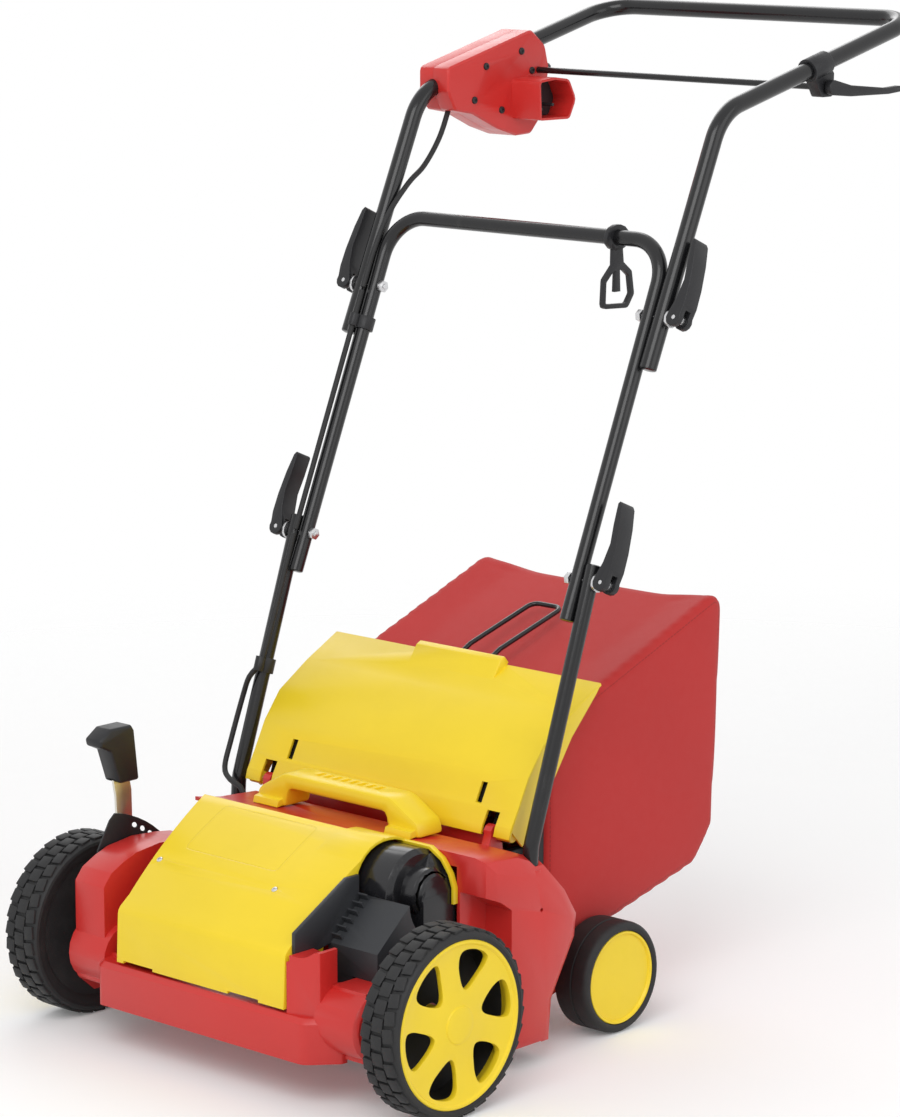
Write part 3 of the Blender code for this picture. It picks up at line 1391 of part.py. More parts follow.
# Bag: red fabric body with its opening, and the plastic frame with wire loop and hook arms
bag_ring = rounded([
    (0.2490, 0.0800), (0.2490, 0.3200), (0.2620, 0.3280), (0.3290, 0.3530), (0.5320, 0.4280, 0.012),
    (0.5280, 0.3090), (0.5200, 0.1730), (0.4920, 0.1370, 0.020), (0.3560, 0.1040),
], 3)
bag_out = softened(slab(bag_ring, -bag_half, bag_half), 0.006, 30, 2, None)
bag_in = slab(offset_ring(bag_ring, bag_wall), bag_wall - bag_half, bag_half - bag_wall)
mouth_half = bag_half - 0.0035
mouth_low = 0.0845
mouth_high = 0.3155
bag_mouth = block((-mouth_half - gap, 0.20, mouth_low - gap), (mouth_half + gap, 0.27, mouth_high + gap))
part("bag_fabric", cut(bag_out, joined(bag_in, bag_mouth)), "red_fabric", "bag_body")

frame_ring = [
    (-mouth_half, mouth_low), (mouth_half, mouth_low), (mouth_half, mouth_high), (-mouth_half, mouth_high),
]
frame_hole = offset_ring(frame_ring, 0.0126)
bag_frame = slab(frame_ring, 0.2433, 0.2571, "y", [frame_hole])
hook_arm = joined(
    block((0.1365, 0.2050, 0.1700), (0.1465, 0.2560, 0.2000)),
    block((0.1400, 0.2446, 0.1720), (0.1520, 0.2566, 0.1980)),
)
hook_arm_left = mirrored(hook_arm)
wire_line = [
    (0.2463, 0.3065), (0.2463, 0.3250), (0.2626, 0.3330), (0.2850, 0.3435), (0.3090, 0.3570),
    (0.3410, 0.3730), (0.4410, 0.4020),
]
wire_path = [(0.021, y, z) for y, z in wire_line] + [(-0.021, y, z) for y, z in wire_line[::-1]]
wire_path = [(*place, 0.010) if place[1] == 0.4410 else place for place in wire_path]
wire = pipe(wire_path, wire_radius, 3, False, 1)
part("bag_frame", joined(bag_frame, hook_arm, hook_arm_left, wire), "black_plastic", "bag_body")

# Switch box in two halves around the left arm, with its plug inlet
# Pegs of the inner half hold the outer half
arm_way = Vector((0, grip_y - shoulder_y, grip_z - shoulder_z)).normalized()
split_x = -0.2087
box_low_x = -0.2310
box_high_x = -0.1860
box_ring = rounded([
    (0.4850, 0.9650, 0.006), (0.6220, 1.0010, 0.008), (0.6450, 0.9830, 0.010), (0.6520, 0.9570),
    (0.6400, 0.9050, 0.010), (0.6220, 0.8860, 0.008), (0.5970, 0.8850), (0.5650, 0.8950),
    (0.5250, 0.9130), (0.4970, 0.9180, 0.006), (0.4850, 0.9400, 0.006),
], 2)
box_outer = softened(slab(box_ring, box_low_x, split_x - gap / 2), 0.003, 50, 1, (0, box_low_x))
box_inner = softened(slab(box_ring, split_x + gap / 2, box_high_x), 0.002, 50, 1, (0, box_high_x))
shroud_ring = rounded([
    (0.5900, 0.9040, 0.003), (0.6390, 0.9035, 0.006), (0.6500, 0.9250, 0.010), (0.6380, 0.9475, 0.008),
    (0.6150, 0.9505), (0.5880, 0.9480, 0.005),
], 2)
shroud_depth = 0.041
shroud = slab(shroud_ring, box_high_x - 0.0005, box_high_x + shroud_depth)
pocket_ring = offset_ring(shroud_ring, 0.0026)
pocket = slab(pocket_ring, box_high_x - 0.0025, box_high_x + shroud_depth + 0.01)
box_inner = joined(box_inner, shroud)
cavity_low = (-0.2260, 0.5840, 0.9000)
cavity_high = (-0.1910, 0.6380, 0.9420)
button_z = 0.9550
cable_path = [
    (-0.1975, 0.3789, 0.7738), (-0.1965, 0.4018, 0.8129), (-0.1972, 0.4332, 0.8430),
    (-0.2040, 0.4660, 0.8600), (-0.2060, 0.4920, 0.8880), (-0.2075, 0.5090, 0.9190),
    (-0.2080, 0.5180, 0.9400),
]
peg_places = [(0.6215, 0.9560), (0.5270, 0.9280), (0.5715, 0.9150)]
screw_places = [(0.5460, 0.9640), (0.6040, 0.9780), *peg_places]
peg_end = -0.2200
peg_radius = 0.0018


def box_tools(inner):
    tools = [
        pipe(upper_points, upper_tube_radius + gap, 3),
        block(cavity_low, cavity_high),
        rod((-0.2158, rod_y, rod_z), (-0.180, rod_y, rod_z), rod_radius + gap, 12),
        rod((split_x, 0.6392, button_z), (split_x, 0.6700, button_z), 0.0053, 14),
        pipe(smooth(cable_path, 0.015), cable_room, 1, False, 2),
    ]
    for y, z in peg_places:
        if not inner:
            tools.append(rod((peg_end - 0.0005, y, z), (-0.2000, y, z), peg_radius + gap, 12))
    return tools


part("switch_box_outer", cut(box_outer, *box_tools(False)), "red_plastic", "upper_handle")
box_inner = cut(box_inner, pocket, *box_tools(True))
box_pegs = [rod((peg_end, y, z), (split_x + 0.0040, y, z), peg_radius, 12) for y, z in peg_places]
heads = [rod((box_high_x - 0.0020, y, z), (box_high_x + 0.0012, y, z), 0.0036, 8) for y, z in screw_places]
part("switch_box_inner", joined(box_inner, *box_pegs, *heads), "red_plastic", "upper_handle")
insert_low = box_high_x - 0.0025 + gap
insert = slab(offset_ring(pocket_ring, gap), insert_low, box_high_x + 0.0110)
pins = []
for y, z in ((0.6249, 0.9193), (0.6058, 0.9150)):
    pins.append(rod((box_high_x + 0.0050, y, z), (box_high_x + 0.0290, y, z), 0.0020, 10))
part("inlet_insert", joined(insert, *pins), "grey_plastic", "upper_handle")
switch_low = (cavity_low[0] + gap, cavity_low[1] + gap, cavity_low[2] + gap)
switch_high = (cavity_high[0] - gap, 0.6180, 0.9230)
micro = joined(block(switch_low, switch_high), block((-0.2120, 0.6060, 0.9200), (-0.2050, 0.6110, 0.9270)))
part("microswitch", micro, "grey_plastic", "upper_handle")

# Sprung lock button at the end of the box, the switch rod across and its lever on the right
body("lock_button_body", (split_x, 0.6560, button_z), "upper_handle")
button = rod((split_x, 0.6445, button_z), (split_x, 0.6600, button_z), 0.0049, 10)
button_cap = rod((split_x, 0.6570, button_z), (split_x, 0.6735, button_z), 0.0062, 12)
part("lock_button", joined(button, button_cap), "grey_plastic", "lock_button_body")
body("switch_body", (0, rod_y, rod_z), "upper_handle")
rod_end = 0.2262
switch_rod = rod((-0.2150, rod_y, rod_z), (rod_end, rod_y, rod_z), rod_radius, 14)
part("switch_rod", switch_rod, "black_tube", "switch_body")
lever_low = 0.2190
switch_ring = arc((rod_y, rod_z), 0.0080, 80, 266, 7)
switch_ring += [(0.6620, 0.9435), (0.7280, 0.9420)] + arc((0.7480, 0.9490), 0.0055, -80, 95, 5)
switch_ring += [(0.7250, 0.9535), (0.6620, 0.9590)]
switch_lever = slab(switch_ring, lever_low, lever_low + 0.0080)
lever_bore = rod((lever_low - 0.002, rod_y, rod_z), (rod_end + gap, rod_y, rod_z), rod_radius + gap, 14)
part("switch_lever", cut(switch_lever, lever_bore), "black_plastic", "switch_body")


def on_arm(y, side=1):
    share = (y - shoulder_y) / (grip_y - shoulder_y)
    x = upper_tube_x + (grip_x - upper_tube_x) * share
    return Vector((side * x, y, shoulder_z + (grip_z - shoulder_z) * share))


sleeve = rod(on_arm(0.6050), on_arm(0.6350), upper_tube_radius + 0.0035, 20)
sleeve_lug = slab(rounded([
    (0.6120, 0.9760), (0.6120, 0.9650), (0.6230, 0.9460, 0.004), (0.6430, 0.9460, 0.004),
    (0.6440, 0.9700), (0.6340, 0.9840),
], 2), 0.2040, 0.2172)
rod_clamp = cut(
    joined(sleeve, sleeve_lug),
    pipe(upper_points, upper_tube_radius + gap, 3),
    rod((0.19, rod_y, rod_z), (0.23, rod_y, rod_z), rod_radius + gap, 14),
)
part("rod_clamp", rod_clamp, "black_plastic", "upper_handle")

# Switch cable along the left legs with its collar and clip
cable_x = -0.1970
lower_front = Vector((0, -lower_way.z, lower_way.y))
middle_front = Vector((0, -middle_way.z, middle_way.y))


def front_of(x, joint, way, front, along, away):
    return tuple(Vector((x, joint.y, joint.z)) + way * along + front * away)


collar_along = -0.148
cable_lower = [
    (cable_exit_x, cable_exit_y, 0.190), (cable_exit_x, cable_exit_y, 0.2005),
    (cable_exit_x, cable_exit_y, 0.211), (-0.1830, 0.1565, 0.2225), (-0.2030, 0.1605, 0.2270),
    (-0.2205, 0.1700, 0.2360), (-0.2262, 0.1860, 0.2640), (-0.2235, 0.2010, 0.3080),
    front_of(-0.2140, lower_joint, lower_way, lower_front, -0.1640, 0.0135),
    front_of(-0.2040, lower_joint, lower_way, lower_front, collar_along, 0.0130),
    front_of(-0.2005, lower_joint, lower_way, lower_front, -0.120, 0.0125),
    front_of(-0.1985, lower_joint, lower_way, lower_front, -0.030, 0.0125),
]
cable_middle = [
    front_of(cable_x, lower_joint, middle_way, middle_front, 0.0, 0.0127),
    front_of(cable_x, lower_joint, middle_way, middle_front, 0.268, 0.0127),
]
first_gap = front_of(-0.1978, lower_joint, lower_way, lower_front, -0.004, 0.0125)
lower_route = smooth(cable_lower[:-1] + [first_gap], 0.015)
part("cable_lower", pipe(lower_route, cable_radius, 1, False, 2), "cable_black")
part("cable_middle", pipe(cable_middle, cable_radius, 1, False, 2), "cable_black", "middle_handle")
cable_top = front_of(cable_x, lower_joint, middle_way, middle_front, 0.272, 0.0127)
upper_route = smooth([cable_top, *cable_path], 0.015)
part("cable_upper", pipe(upper_route, cable_radius, 1, False, 2), "cable_black", "upper_handle")

collar_low = on_line(-lower_tube_x, lower_joint, lower_way, collar_along - 0.008)
collar_high = on_line(-lower_tube_x, lower_joint, lower_way, collar_along + 0.008)
cuff_low = front_of(-0.2040, lower_joint, lower_way, lower_front, collar_along - 0.0078, 0.0130)
cuff_high = front_of(-0.2040, lower_joint, lower_way, lower_front, collar_along + 0.0078, 0.0130)
collar = joined(
    rod(collar_low, collar_high, lower_tube_radius + 0.0028, 16),
    rod(cuff_low, cuff_high, cable_radius + 0.0026, 12),
)
collar = cut(
    collar,
    pipe([
        on_line(-lower_tube_x, lower_joint, lower_way, -0.30),
        on_line(-lower_tube_x, lower_joint, lower_way, 0.0),
    ], (lower_tube_radius + gap) / math.cos(math.pi / 10), 1),
    pipe(lower_route, cable_room, 1, False, 2),
)
part("cable_collar", collar, "black_plastic")
clip_along = 0.235
clip_low = on_line(-middle_tube_x, lower_joint, middle_way, clip_along - 0.007)
clip_high = on_line(-middle_tube_x, lower_joint, middle_way, clip_along + 0.007)
hold_low = front_of(cable_x, lower_joint, middle_way, middle_front, clip_along - 0.0068, 0.0127)
hold_high = front_of(cable_x, lower_joint, middle_way, middle_front, clip_along + 0.0068, 0.0127)
clip = joined(
    rod(clip_low, clip_high, middle_tube_radius + 0.0028, 16),
    rod(hold_low, hold_high, cable_radius + 0.0026, 12),
)
clip = cut(
    clip,
    pipe([
        on_line(-middle_tube_x, lower_joint, middle_way, 0.1),
        on_line(-middle_tube_x, lower_joint, middle_way, 0.3),
    ], (middle_tube_radius + gap) / math.cos(math.pi / 10), 1),
    pipe(cable_middle, cable_room, 1, False, 2),
    block((-0.25, 0.2, 0.5), (-middle_tube_x - middle_tube_radius + 0.0003, 0.5, 0.9)),
)
part("cable_clip", clip, "black_plastic", "middle_handle")

# The whole machine is moved so that its middle lies over the origin
bodies["frame"].location = (0, row_y, 0)
bpy.context.view_layer.update()
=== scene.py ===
import math

import bmesh
import bpy
from mathutils import Matrix, Vector


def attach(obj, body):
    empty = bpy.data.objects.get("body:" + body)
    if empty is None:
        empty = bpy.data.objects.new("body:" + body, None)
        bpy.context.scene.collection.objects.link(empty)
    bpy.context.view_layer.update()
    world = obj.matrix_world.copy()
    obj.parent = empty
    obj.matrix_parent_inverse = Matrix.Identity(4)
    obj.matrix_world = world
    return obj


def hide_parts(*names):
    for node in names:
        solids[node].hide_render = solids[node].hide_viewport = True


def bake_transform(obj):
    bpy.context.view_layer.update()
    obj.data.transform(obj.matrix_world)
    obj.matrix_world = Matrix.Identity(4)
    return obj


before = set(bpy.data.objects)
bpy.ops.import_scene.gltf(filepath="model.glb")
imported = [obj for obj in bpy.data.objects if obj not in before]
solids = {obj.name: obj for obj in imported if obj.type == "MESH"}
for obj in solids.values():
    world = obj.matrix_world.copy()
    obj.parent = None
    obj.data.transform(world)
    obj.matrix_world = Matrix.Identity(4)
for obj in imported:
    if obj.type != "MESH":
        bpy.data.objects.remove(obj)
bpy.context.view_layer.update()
axleY = -0.35085  # where the front axle stands along the machine, in metres as all lengths
print("frame loaded with", len(solids), "solids")


def at(x, y, z):
    return Vector((x, y + axleY, z))


def clearSelection():
    active = bpy.context.view_layer.objects.active
    if active and active.mode != "OBJECT":
        bpy.ops.object.mode_set(mode="OBJECT")
    for thing in bpy.context.selected_objects:
        thing.select_set(False)


def workOn(piece):
    clearSelection()
    piece.select_set(True)
    bpy.context.view_layer.objects.active = piece


def editAll(piece, select="SELECT"):
    workOn(piece)
    bpy.ops.object.mode_set(mode="EDIT")
    bpy.ops.mesh.select_all(action=select)


def leaveEdit():
    bpy.ops.object.mode_set(mode="OBJECT")


def pickFaces(piece, wanted):
    bpy.ops.mesh.select_mode(type="FACE")
    bpy.ops.mesh.select_all(action="DESELECT")
    mesh = bmesh.from_edit_mesh(piece.data)
    for face in mesh.faces:
        face.select_set(wanted(face.calc_center_median(), face.normal))
    bmesh.update_edit_mesh(piece.data)


def applyAll(piece):
    workOn(piece)
    bpy.ops.object.transform_apply(location=True, rotation=True, scale=True)
    for modifier in list(piece.modifiers):
        bpy.ops.object.modifier_apply(modifier=modifier.name)
    return piece


def roundEdges(piece, width, segments=2, angle=32):
    bevel = piece.modifiers.new("edges", "BEVEL")
    bevel.width = width
    bevel.segments = segments
    bevel.limit_method = "ANGLE"
    bevel.angle_limit = math.radians(angle)
    return applyAll(piece)


def cutWith(piece, tools):
    for tool in tools:
        step = piece.modifiers.new("cut", "BOOLEAN")
        step.operation = "DIFFERENCE"
        step.solver = "EXACT"
        step.object = tool
        applyAll(piece)
        bpy.data.objects.remove(tool, do_unlink=True)
    return piece


def joinPieces(name, pieces):
    workOn(pieces[0])
    for piece in pieces[1:]:
        piece.select_set(True)
    if len(pieces) > 1:
        bpy.ops.object.join()
    pieces[0].name = name
    return pieces[0]


def finishPiece(piece, body, material, stands=(), smooth=34):
    applyAll(piece)
    piece.data.materials.clear()
    piece.data.materials.append(material)
    workOn(piece)
    bpy.ops.object.shade_smooth_by_angle(angle=math.radians(smooth))
    if body:
        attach(piece, body)
    if stands:
        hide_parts(*stands)
    return piece


# A full turn of a closed outline of (radius, place along x) about a line in x
def spunRound(name, outline, middle, steps=96):
    clearSelection()
    bpy.ops.mesh.primitive_circle_add(vertices=len(outline), radius=0.1, fill_type="NOTHING")
    piece = bpy.context.object
    piece.name = name
    for vertex, (radius, along) in zip(piece.data.vertices, outline):
        vertex.co = (middle.x + along, middle.y, middle.z + radius)
    editAll(piece)
    bpy.ops.mesh.spin(steps=steps, angle=math.tau, center=middle, axis=(1, 0, 0))
    bpy.ops.mesh.select_all(action="SELECT")
    bpy.ops.mesh.remove_doubles(threshold=0.00002)
    bpy.ops.mesh.dissolve_degenerate(threshold=0.00001)
    bpy.ops.mesh.select_all(action="SELECT")
    bpy.ops.mesh.normals_make_consistent(inside=False)
    leaveEdit()
    return piece


# Corners of a route given as (x, y, z, radius) become arcs
def filleted(points, steps=10):
    route = []
    for index, point in enumerate(points):
        here = Vector(point[:3])
        radius = point[3] if len(point) > 3 else 0
        if radius == 0:
            route.append(here)
            continue
        back = (Vector(points[index - 1][:3]) - here).normalized()
        ahead = (Vector(points[index + 1][:3]) - here).normalized()
        half = back.angle(ahead) / 2
        centre = here + (back + ahead).normalized() * radius / math.sin(half)
        first = here + back * radius / math.tan(half) - centre
        last = here + ahead * radius / math.tan(half) - centre
        whole = first.angle(last)
        for step in range(steps + 1):
            share = step / steps
            near = math.sin((1 - share) * whole) / math.sin(whole)
            far = math.sin(share * whole) / math.sin(whole)
            route.append(centre + first * near + last * far)
    return route


# One smooth curve through all the points
def smoothRoute(points, spacing):
    places = [Vector(point) for point in points]
    route = []
    for index in range(len(places) - 1):
        near, far = places[index], places[index + 1]
        before, after = places[max(index - 1, 0)], places[min(index + 2, len(places) - 1)]
        leave = (far - before) / (2 if index > 0 else 1)
        arrive = (after - near) / (2 if index + 2 < len(places) else 1)
        steps = max(2, round((far - near).length / spacing))
        for step in range(steps):
            t = step / steps
            place = near * (2 * t ** 3 - 3 * t ** 2 + 1) + far * (3 * t ** 2 - 2 * t ** 3)
            route.append(place + leave * (t ** 3 - 2 * t ** 2 + t) + arrive * (t ** 3 - t ** 2))
    return route + [places[-1]]


def drawnTube(name, route, radius, roundness=6, swell=None):
    curve = bpy.data.curves.new(name, "CURVE")
    curve.dimensions = "3D"
    curve.bevel_depth = radius
    curve.bevel_resolution = roundness
    curve.use_fill_caps = True
    spline = curve.splines.new("POLY")
    spline.points.add(len(route) - 1)
    for index, place in enumerate(route):
        spline.points[index].co = (*place, 1)
        if swell:
            spline.points[index].radius = swell[index]
    piece = bpy.data.objects.new(name, curve)
    bpy.context.scene.collection.objects.link(piece)
    workOn(piece)
    bpy.ops.object.convert(target="MESH")
    editAll(piece)
    bpy.ops.mesh.remove_doubles(threshold=0.00001)
    bpy.ops.mesh.normals_make_consistent(inside=False)
    leaveEdit()
    return piece


# A flat outline of (y, z) places pulled out along x
def pulledOut(name, outline, low, high):
    clearSelection()
    bpy.ops.mesh.primitive_circle_add(vertices=len(outline), radius=0.1, fill_type="NGON")
    piece = bpy.context.object
    piece.name = name
    for vertex, (across, up) in zip(piece.data.vertices, outline):
        vertex.co = (low, across, up)
    editAll(piece)
    bpy.ops.mesh.extrude_region_move(TRANSFORM_OT_translate={"value": (high - low, 0, 0)})
    bpy.ops.mesh.select_all(action="SELECT")
    bpy.ops.mesh.normals_make_consistent(inside=False)
    leaveEdit()
    return piece


def softBlock(name, middle, size, width, segments=2):
    clearSelection()
    bpy.ops.mesh.primitive_cube_add(size=1, location=middle, scale=size)
    piece = bpy.context.object
    piece.name = name
    return roundEdges(piece, width, segments)


# A copy of a solid with merged corners, flat faces made whole, and its edges rounded
def dressed(node, width=0, segments=2):
    clearSelection()
    piece = solids[node].copy()
    piece.data = solids[node].data.copy()
    piece.parent = None
    piece.name = "skin_" + node
    for key in list(piece.keys()):
        del piece[key]
    bpy.context.scene.collection.objects.link(piece)
    piece.hide_render = False
    editAll(piece)
    bpy.ops.mesh.remove_doubles(threshold=0.00001)
    bpy.ops.mesh.dissolve_limited(angle_limit=math.radians(0.6))
    leaveEdit()
    if width > 0:
        roundEdges(piece, width, segments)
        weigh = piece.modifiers.new("even", "WEIGHTED_NORMAL")
        weigh.keep_sharp = True
    return piece


# Materials. A wire is a node's socket, and sums on wires add Math nodes
class Wire:
    def __init__(self, recipe, socket):
        self.recipe = recipe
        self.socket = socket

    def __add__(self, other):
        return self.recipe.sum("ADD", self, other)

    def __radd__(self, other):
        return self.recipe.sum("ADD", other, self)

    def __sub__(self, other):
        return self.recipe.sum("SUBTRACT", self, other)

    def __rsub__(self, other):
        return self.recipe.sum("SUBTRACT", other, self)

    def __mul__(self, other):
        return self.recipe.sum("MULTIPLY", self, other)

    def __rmul__(self, other):
        return self.recipe.sum("MULTIPLY", other, self)


class Recipe:
    def __init__(self, name, material=None):
        self.material = material or bpy.data.materials.new(name)
        self.material.name = name
        self.material.use_nodes = True
        self.tree = self.material.node_tree
        self.shader = self.tree.nodes.get("Principled BSDF") or self.tree.nodes["Background"]

    def node(self, kind, settings=None, feeds=None, out=0):
        made = self.tree.nodes.new(kind)
        for name, value in (settings or {}).items():
            if name == "stops":
                stops = made.color_ramp.elements
                stops[0].position, stops[1].position = value[0][0], value[-1][0]
                stops[0].color, stops[1].color = (*value[0][1], 1), (*value[-1][1], 1)
                for place, colour in value[1:-1]:
                    stops.new(place).color = (*colour, 1)
            else:
                setattr(made, name, value)
        for name, value in (feeds or {}).items():
            self.feed(made.inputs[name], value)
        return Wire(self, made.outputs[out])

    def feed(self, socket, value):
        if isinstance(value, Wire):
            self.tree.links.new(value.socket, socket)
        else:
            socket.default_value = value

    def set(self, **values):
        for name, value in values.items():
            self.feed(self.shader.inputs[name.replace("_", " ")], value)

    def sum(self, operation, *values):
        return self.node("ShaderNodeMath", {"operation": operation}, dict(enumerate(values)))

    def apart(self, places, axis):
        return self.node("ShaderNodeSeparateXYZ", {}, {"Vector": places}, axis)

    def places(self, stretch=(1, 1, 1)):
        spot = self.node("ShaderNodeTexCoord", out=3)
        return self.node("ShaderNodeMapping", {}, {"Vector": spot, "Scale": stretch})

    def cloud(self, places, scale, detail=3.0, rough=0.5):
        feeds = {"Vector": places, "Scale": scale, "Detail": detail, "Roughness": rough}
        return self.node("ShaderNodeTexNoise", {}, feeds)

    def between(self, mask, low, high):
        colours = [value if isinstance(value, Wire) else (*value, 1) for value in (low, high)]
        feeds = {0: mask, 6: colours[0], 7: colours[1]}
        return self.node("ShaderNodeMix", {"data_type": "RGBA"}, feeds, 2)

    def ramp(self, value, low, high):
        stops = [(low, (0, 0, 0)), (high, (1, 1, 1))]
        return self.node("ShaderNodeValToRGB", {"stops": stops}, {"Fac": value})

    def bump(self, height, strength, depth):
        feeds = {"Height": height, "Strength": strength, "Distance": depth}
        return self.node("ShaderNodeBump", {}, feeds)

    def backdropRays(self):
        seen, mirrored, through = (
            self.node("ShaderNodeLightPath", out=f"Is {kind} Ray")
            for kind in ("Camera", "Glossy", "Transmission")
        )
        return self.sum("MAXIMUM", self.sum("MAXIMUM", seen, mirrored), through)


def shade(colour, factor):
    return tuple(min(1.0, channel * factor) for channel in colour)


# gloss is the roughness, shine the specular level, grain the height of the moulded texture
mouldedPlastic = {
    "redShell": {
        "colour": (0.60, 0.026, 0.022), "gloss": 0.34, "grain": 0.10, "coat": 0.10, "shine": 0.45,
    },
    "yellowShell": {
        "colour": (0.90, 0.66, 0.020), "gloss": 0.36, "grain": 0.10, "coat": 0.08, "shine": 0.40,
    },
    "blackGloss": {
        "colour": (0.013, 0.013, 0.015), "gloss": 0.20, "grain": 0.04, "coat": 0.15, "shine": 0.40,
    },
    "blackGrained": {
        "colour": (0.016, 0.016, 0.018), "gloss": 0.44, "grain": 0.30, "coat": 0.0, "shine": 0.35,
    },
    "greyGrained": {
        "colour": (0.030, 0.032, 0.036), "gloss": 0.46, "grain": 0.35, "coat": 0.0, "shine": 0.40,
    },
}


def plastic(name):
    wish = mouldedPlastic[name]
    recipe = Recipe(name)
    places = recipe.places()
    flow = recipe.cloud(places, 7.0, 4.0, 0.55)
    grain = recipe.cloud(places, 1100.0, 2.0, 0.6)
    waves = recipe.cloud(places, 60.0, 2.0, 0.5)
    handling = recipe.ramp(recipe.cloud(recipe.places((1.0, 2.5, 1.4)), 16.0, 8.0, 0.7), 0.50, 0.74)
    tone = recipe.between(flow, shade(wish["colour"], 0.90), shade(wish["colour"], 1.06))
    tone = recipe.between(handling * 0.10, tone, shade(wish["colour"], 0.75))
    height = grain * wish["grain"] + waves * 0.25
    recipe.set(
        Base_Color=tone,
        Roughness=wish["gloss"] - 0.04 + flow * 0.05 + handling * 0.10,
        Specular_IOR_Level=wish["shine"],
        Coat_Weight=wish["coat"],
        Coat_Roughness=0.18,
        Normal=recipe.bump(height, 0.35, 0.0004),
    )
    return recipe.material


tubePaint = {"colour": (0.009, 0.009, 0.010), "gloss": 0.20, "peel": 0.20}


def paintedTube():
    recipe = Recipe("blackTubePaint")
    places = recipe.places()
    peel = recipe.cloud(places, 260.0, 2.0, 0.5)
    rubbed = recipe.ramp(recipe.cloud(recipe.places((3.0, 1.0, 0.6)), 14.0, 6.0, 0.65), 0.60, 0.80)
    recipe.set(
        Base_Color=recipe.between(rubbed, tubePaint["colour"], (0.024, 0.023, 0.023)),
        Roughness=tubePaint["gloss"] + rubbed * 0.16 + peel * 0.03,
        Specular_IOR_Level=0.35,
        Coat_Weight=0.15,
        Coat_Roughness=0.10,
        Normal=recipe.bump(peel, tubePaint["peel"], 0.0002),
    )
    return recipe.material


tyreRubber = {"colour": (0.018, 0.018, 0.019), "dust": (0.045, 0.044, 0.042), "gloss": 0.58}


def rubber():
    recipe = Recipe("tyreRubber")
    places = recipe.places()
    speckle = recipe.cloud(places, 700.0, 3.0, 0.6)
    dust = recipe.ramp(recipe.cloud(places, 30.0, 8.0, 0.7), 0.46, 0.82)
    recipe.set(
        Base_Color=recipe.between(dust * 0.5, tyreRubber["colour"], tyreRubber["dust"]),
        Roughness=tyreRubber["gloss"] + dust * 0.2,
        Specular_IOR_Level=0.35,
        Normal=recipe.bump(speckle, 0.4, 0.0004),
    )
    return recipe.material


metalFinish = {
    "zincBright": {"colour": (0.66, 0.66, 0.67), "gloss": 0.28, "along": (1.0, 60.0, 60.0)},
    "bladeSteel": {"colour": (0.42, 0.42, 0.43), "gloss": 0.36, "along": (60.0, 2.0, 2.0)},
    "zincYellow": {"colour": (0.74, 0.72, 0.64), "gloss": 0.36, "along": (60.0, 2.0, 2.0)},
    "castAlloy": {"colour": (0.50, 0.51, 0.52), "gloss": 0.50, "along": (1.0, 1.0, 1.0)},
}


def metal(name):
    wish = metalFinish[name]
    recipe = Recipe(name)
    lines = recipe.cloud(recipe.places(wish["along"]), 24.0, 4.0, 0.6)
    stains = recipe.cloud(recipe.places(), 22.0, 5.0, 0.6)
    recipe.set(
        Base_Color=recipe.between(stains, shade(wish["colour"], 0.82), shade(wish["colour"], 1.08)),
        Metallic=1.0,
        Roughness=wish["gloss"] - 0.08 + lines * 0.14 + stains * 0.06,
        Normal=recipe.bump(lines, 0.12, 0.0003),
    )
    return recipe.material


bagCloth = {
    "colour": (0.52, 0.020, 0.018), "thread": 0.0011, "depth": 0.30,
    "stitch": 0.0050, "stitched": 0.68, "hem": 0.0075, "line": 0.0005, "gutter": 0.0012,
}


def cloth():
    recipe = Recipe("wovenPolyester")
    sheet = recipe.node("ShaderNodeUVMap", {"uv_map": "cloth"})
    bands = math.tau / 20 / bagCloth["thread"]
    warp, weft = (
        recipe.node(
            "ShaderNodeTexWave", {"bands_direction": axis},
            {"Vector": sheet, "Scale": bands, "Distortion": 0.3, "Detail": 1.0}, 1,
        )
        for axis in ("X", "Y")
    )
    weave = warp * weft + (1 - warp) * (1 - weft)
    # the second map holds the length along the seam and the distance from it
    seam = recipe.node("ShaderNodeUVMap", {"uv_map": "seam"})
    along, away = (recipe.apart(seam, axis) for axis in (0, 1))
    steps = recipe.sum("FRACT", along * (1 / bagCloth["stitch"]))
    dashes = recipe.sum("LESS_THAN", steps, bagCloth["stitched"])
    offset = recipe.sum("ABSOLUTE", away - bagCloth["hem"])
    stitches = recipe.sum("LESS_THAN", offset, bagCloth["line"]) * dashes
    gutter = recipe.sum("LESS_THAN", offset, bagCloth["gutter"])
    places = recipe.places()
    slubs = recipe.cloud(places, 90.0, 4.0, 0.6)
    fade = recipe.cloud(places, 5.0, 4.0, 0.5)
    tone = recipe.between(fade, shade(bagCloth["colour"], 0.86), shade(bagCloth["colour"], 1.08))
    tone = recipe.between(weave * 0.16, tone, shade(bagCloth["colour"], 0.60))
    tone = recipe.between(stitches * 0.8, tone, shade(bagCloth["colour"], 0.45))
    height = weave * 0.5 + slubs * 0.4 + stitches * 1.2 - gutter * 1.5
    recipe.set(
        Base_Color=tone,
        Roughness=0.74 + slubs * 0.14,
        Sheen_Weight=0.12,
        Sheen_Roughness=0.5,
        Normal=recipe.bump(height, bagCloth["depth"], 0.0006),
    )
    return recipe.material


redShell = plastic("redShell")
yellowShell = plastic("yellowShell")
blackGloss = plastic("blackGloss")
blackGrained = plastic("blackGrained")
greyGrained = plastic("greyGrained")
blackTubePaint = paintedTube()
tyreBlack = rubber()
zincBright = metal("zincBright")
bladeSteel = metal("bladeSteel")
zincYellow = metal("zincYellow")
castAlloy = metal("castAlloy")
clothRed = cloth()
print("materials mixed")

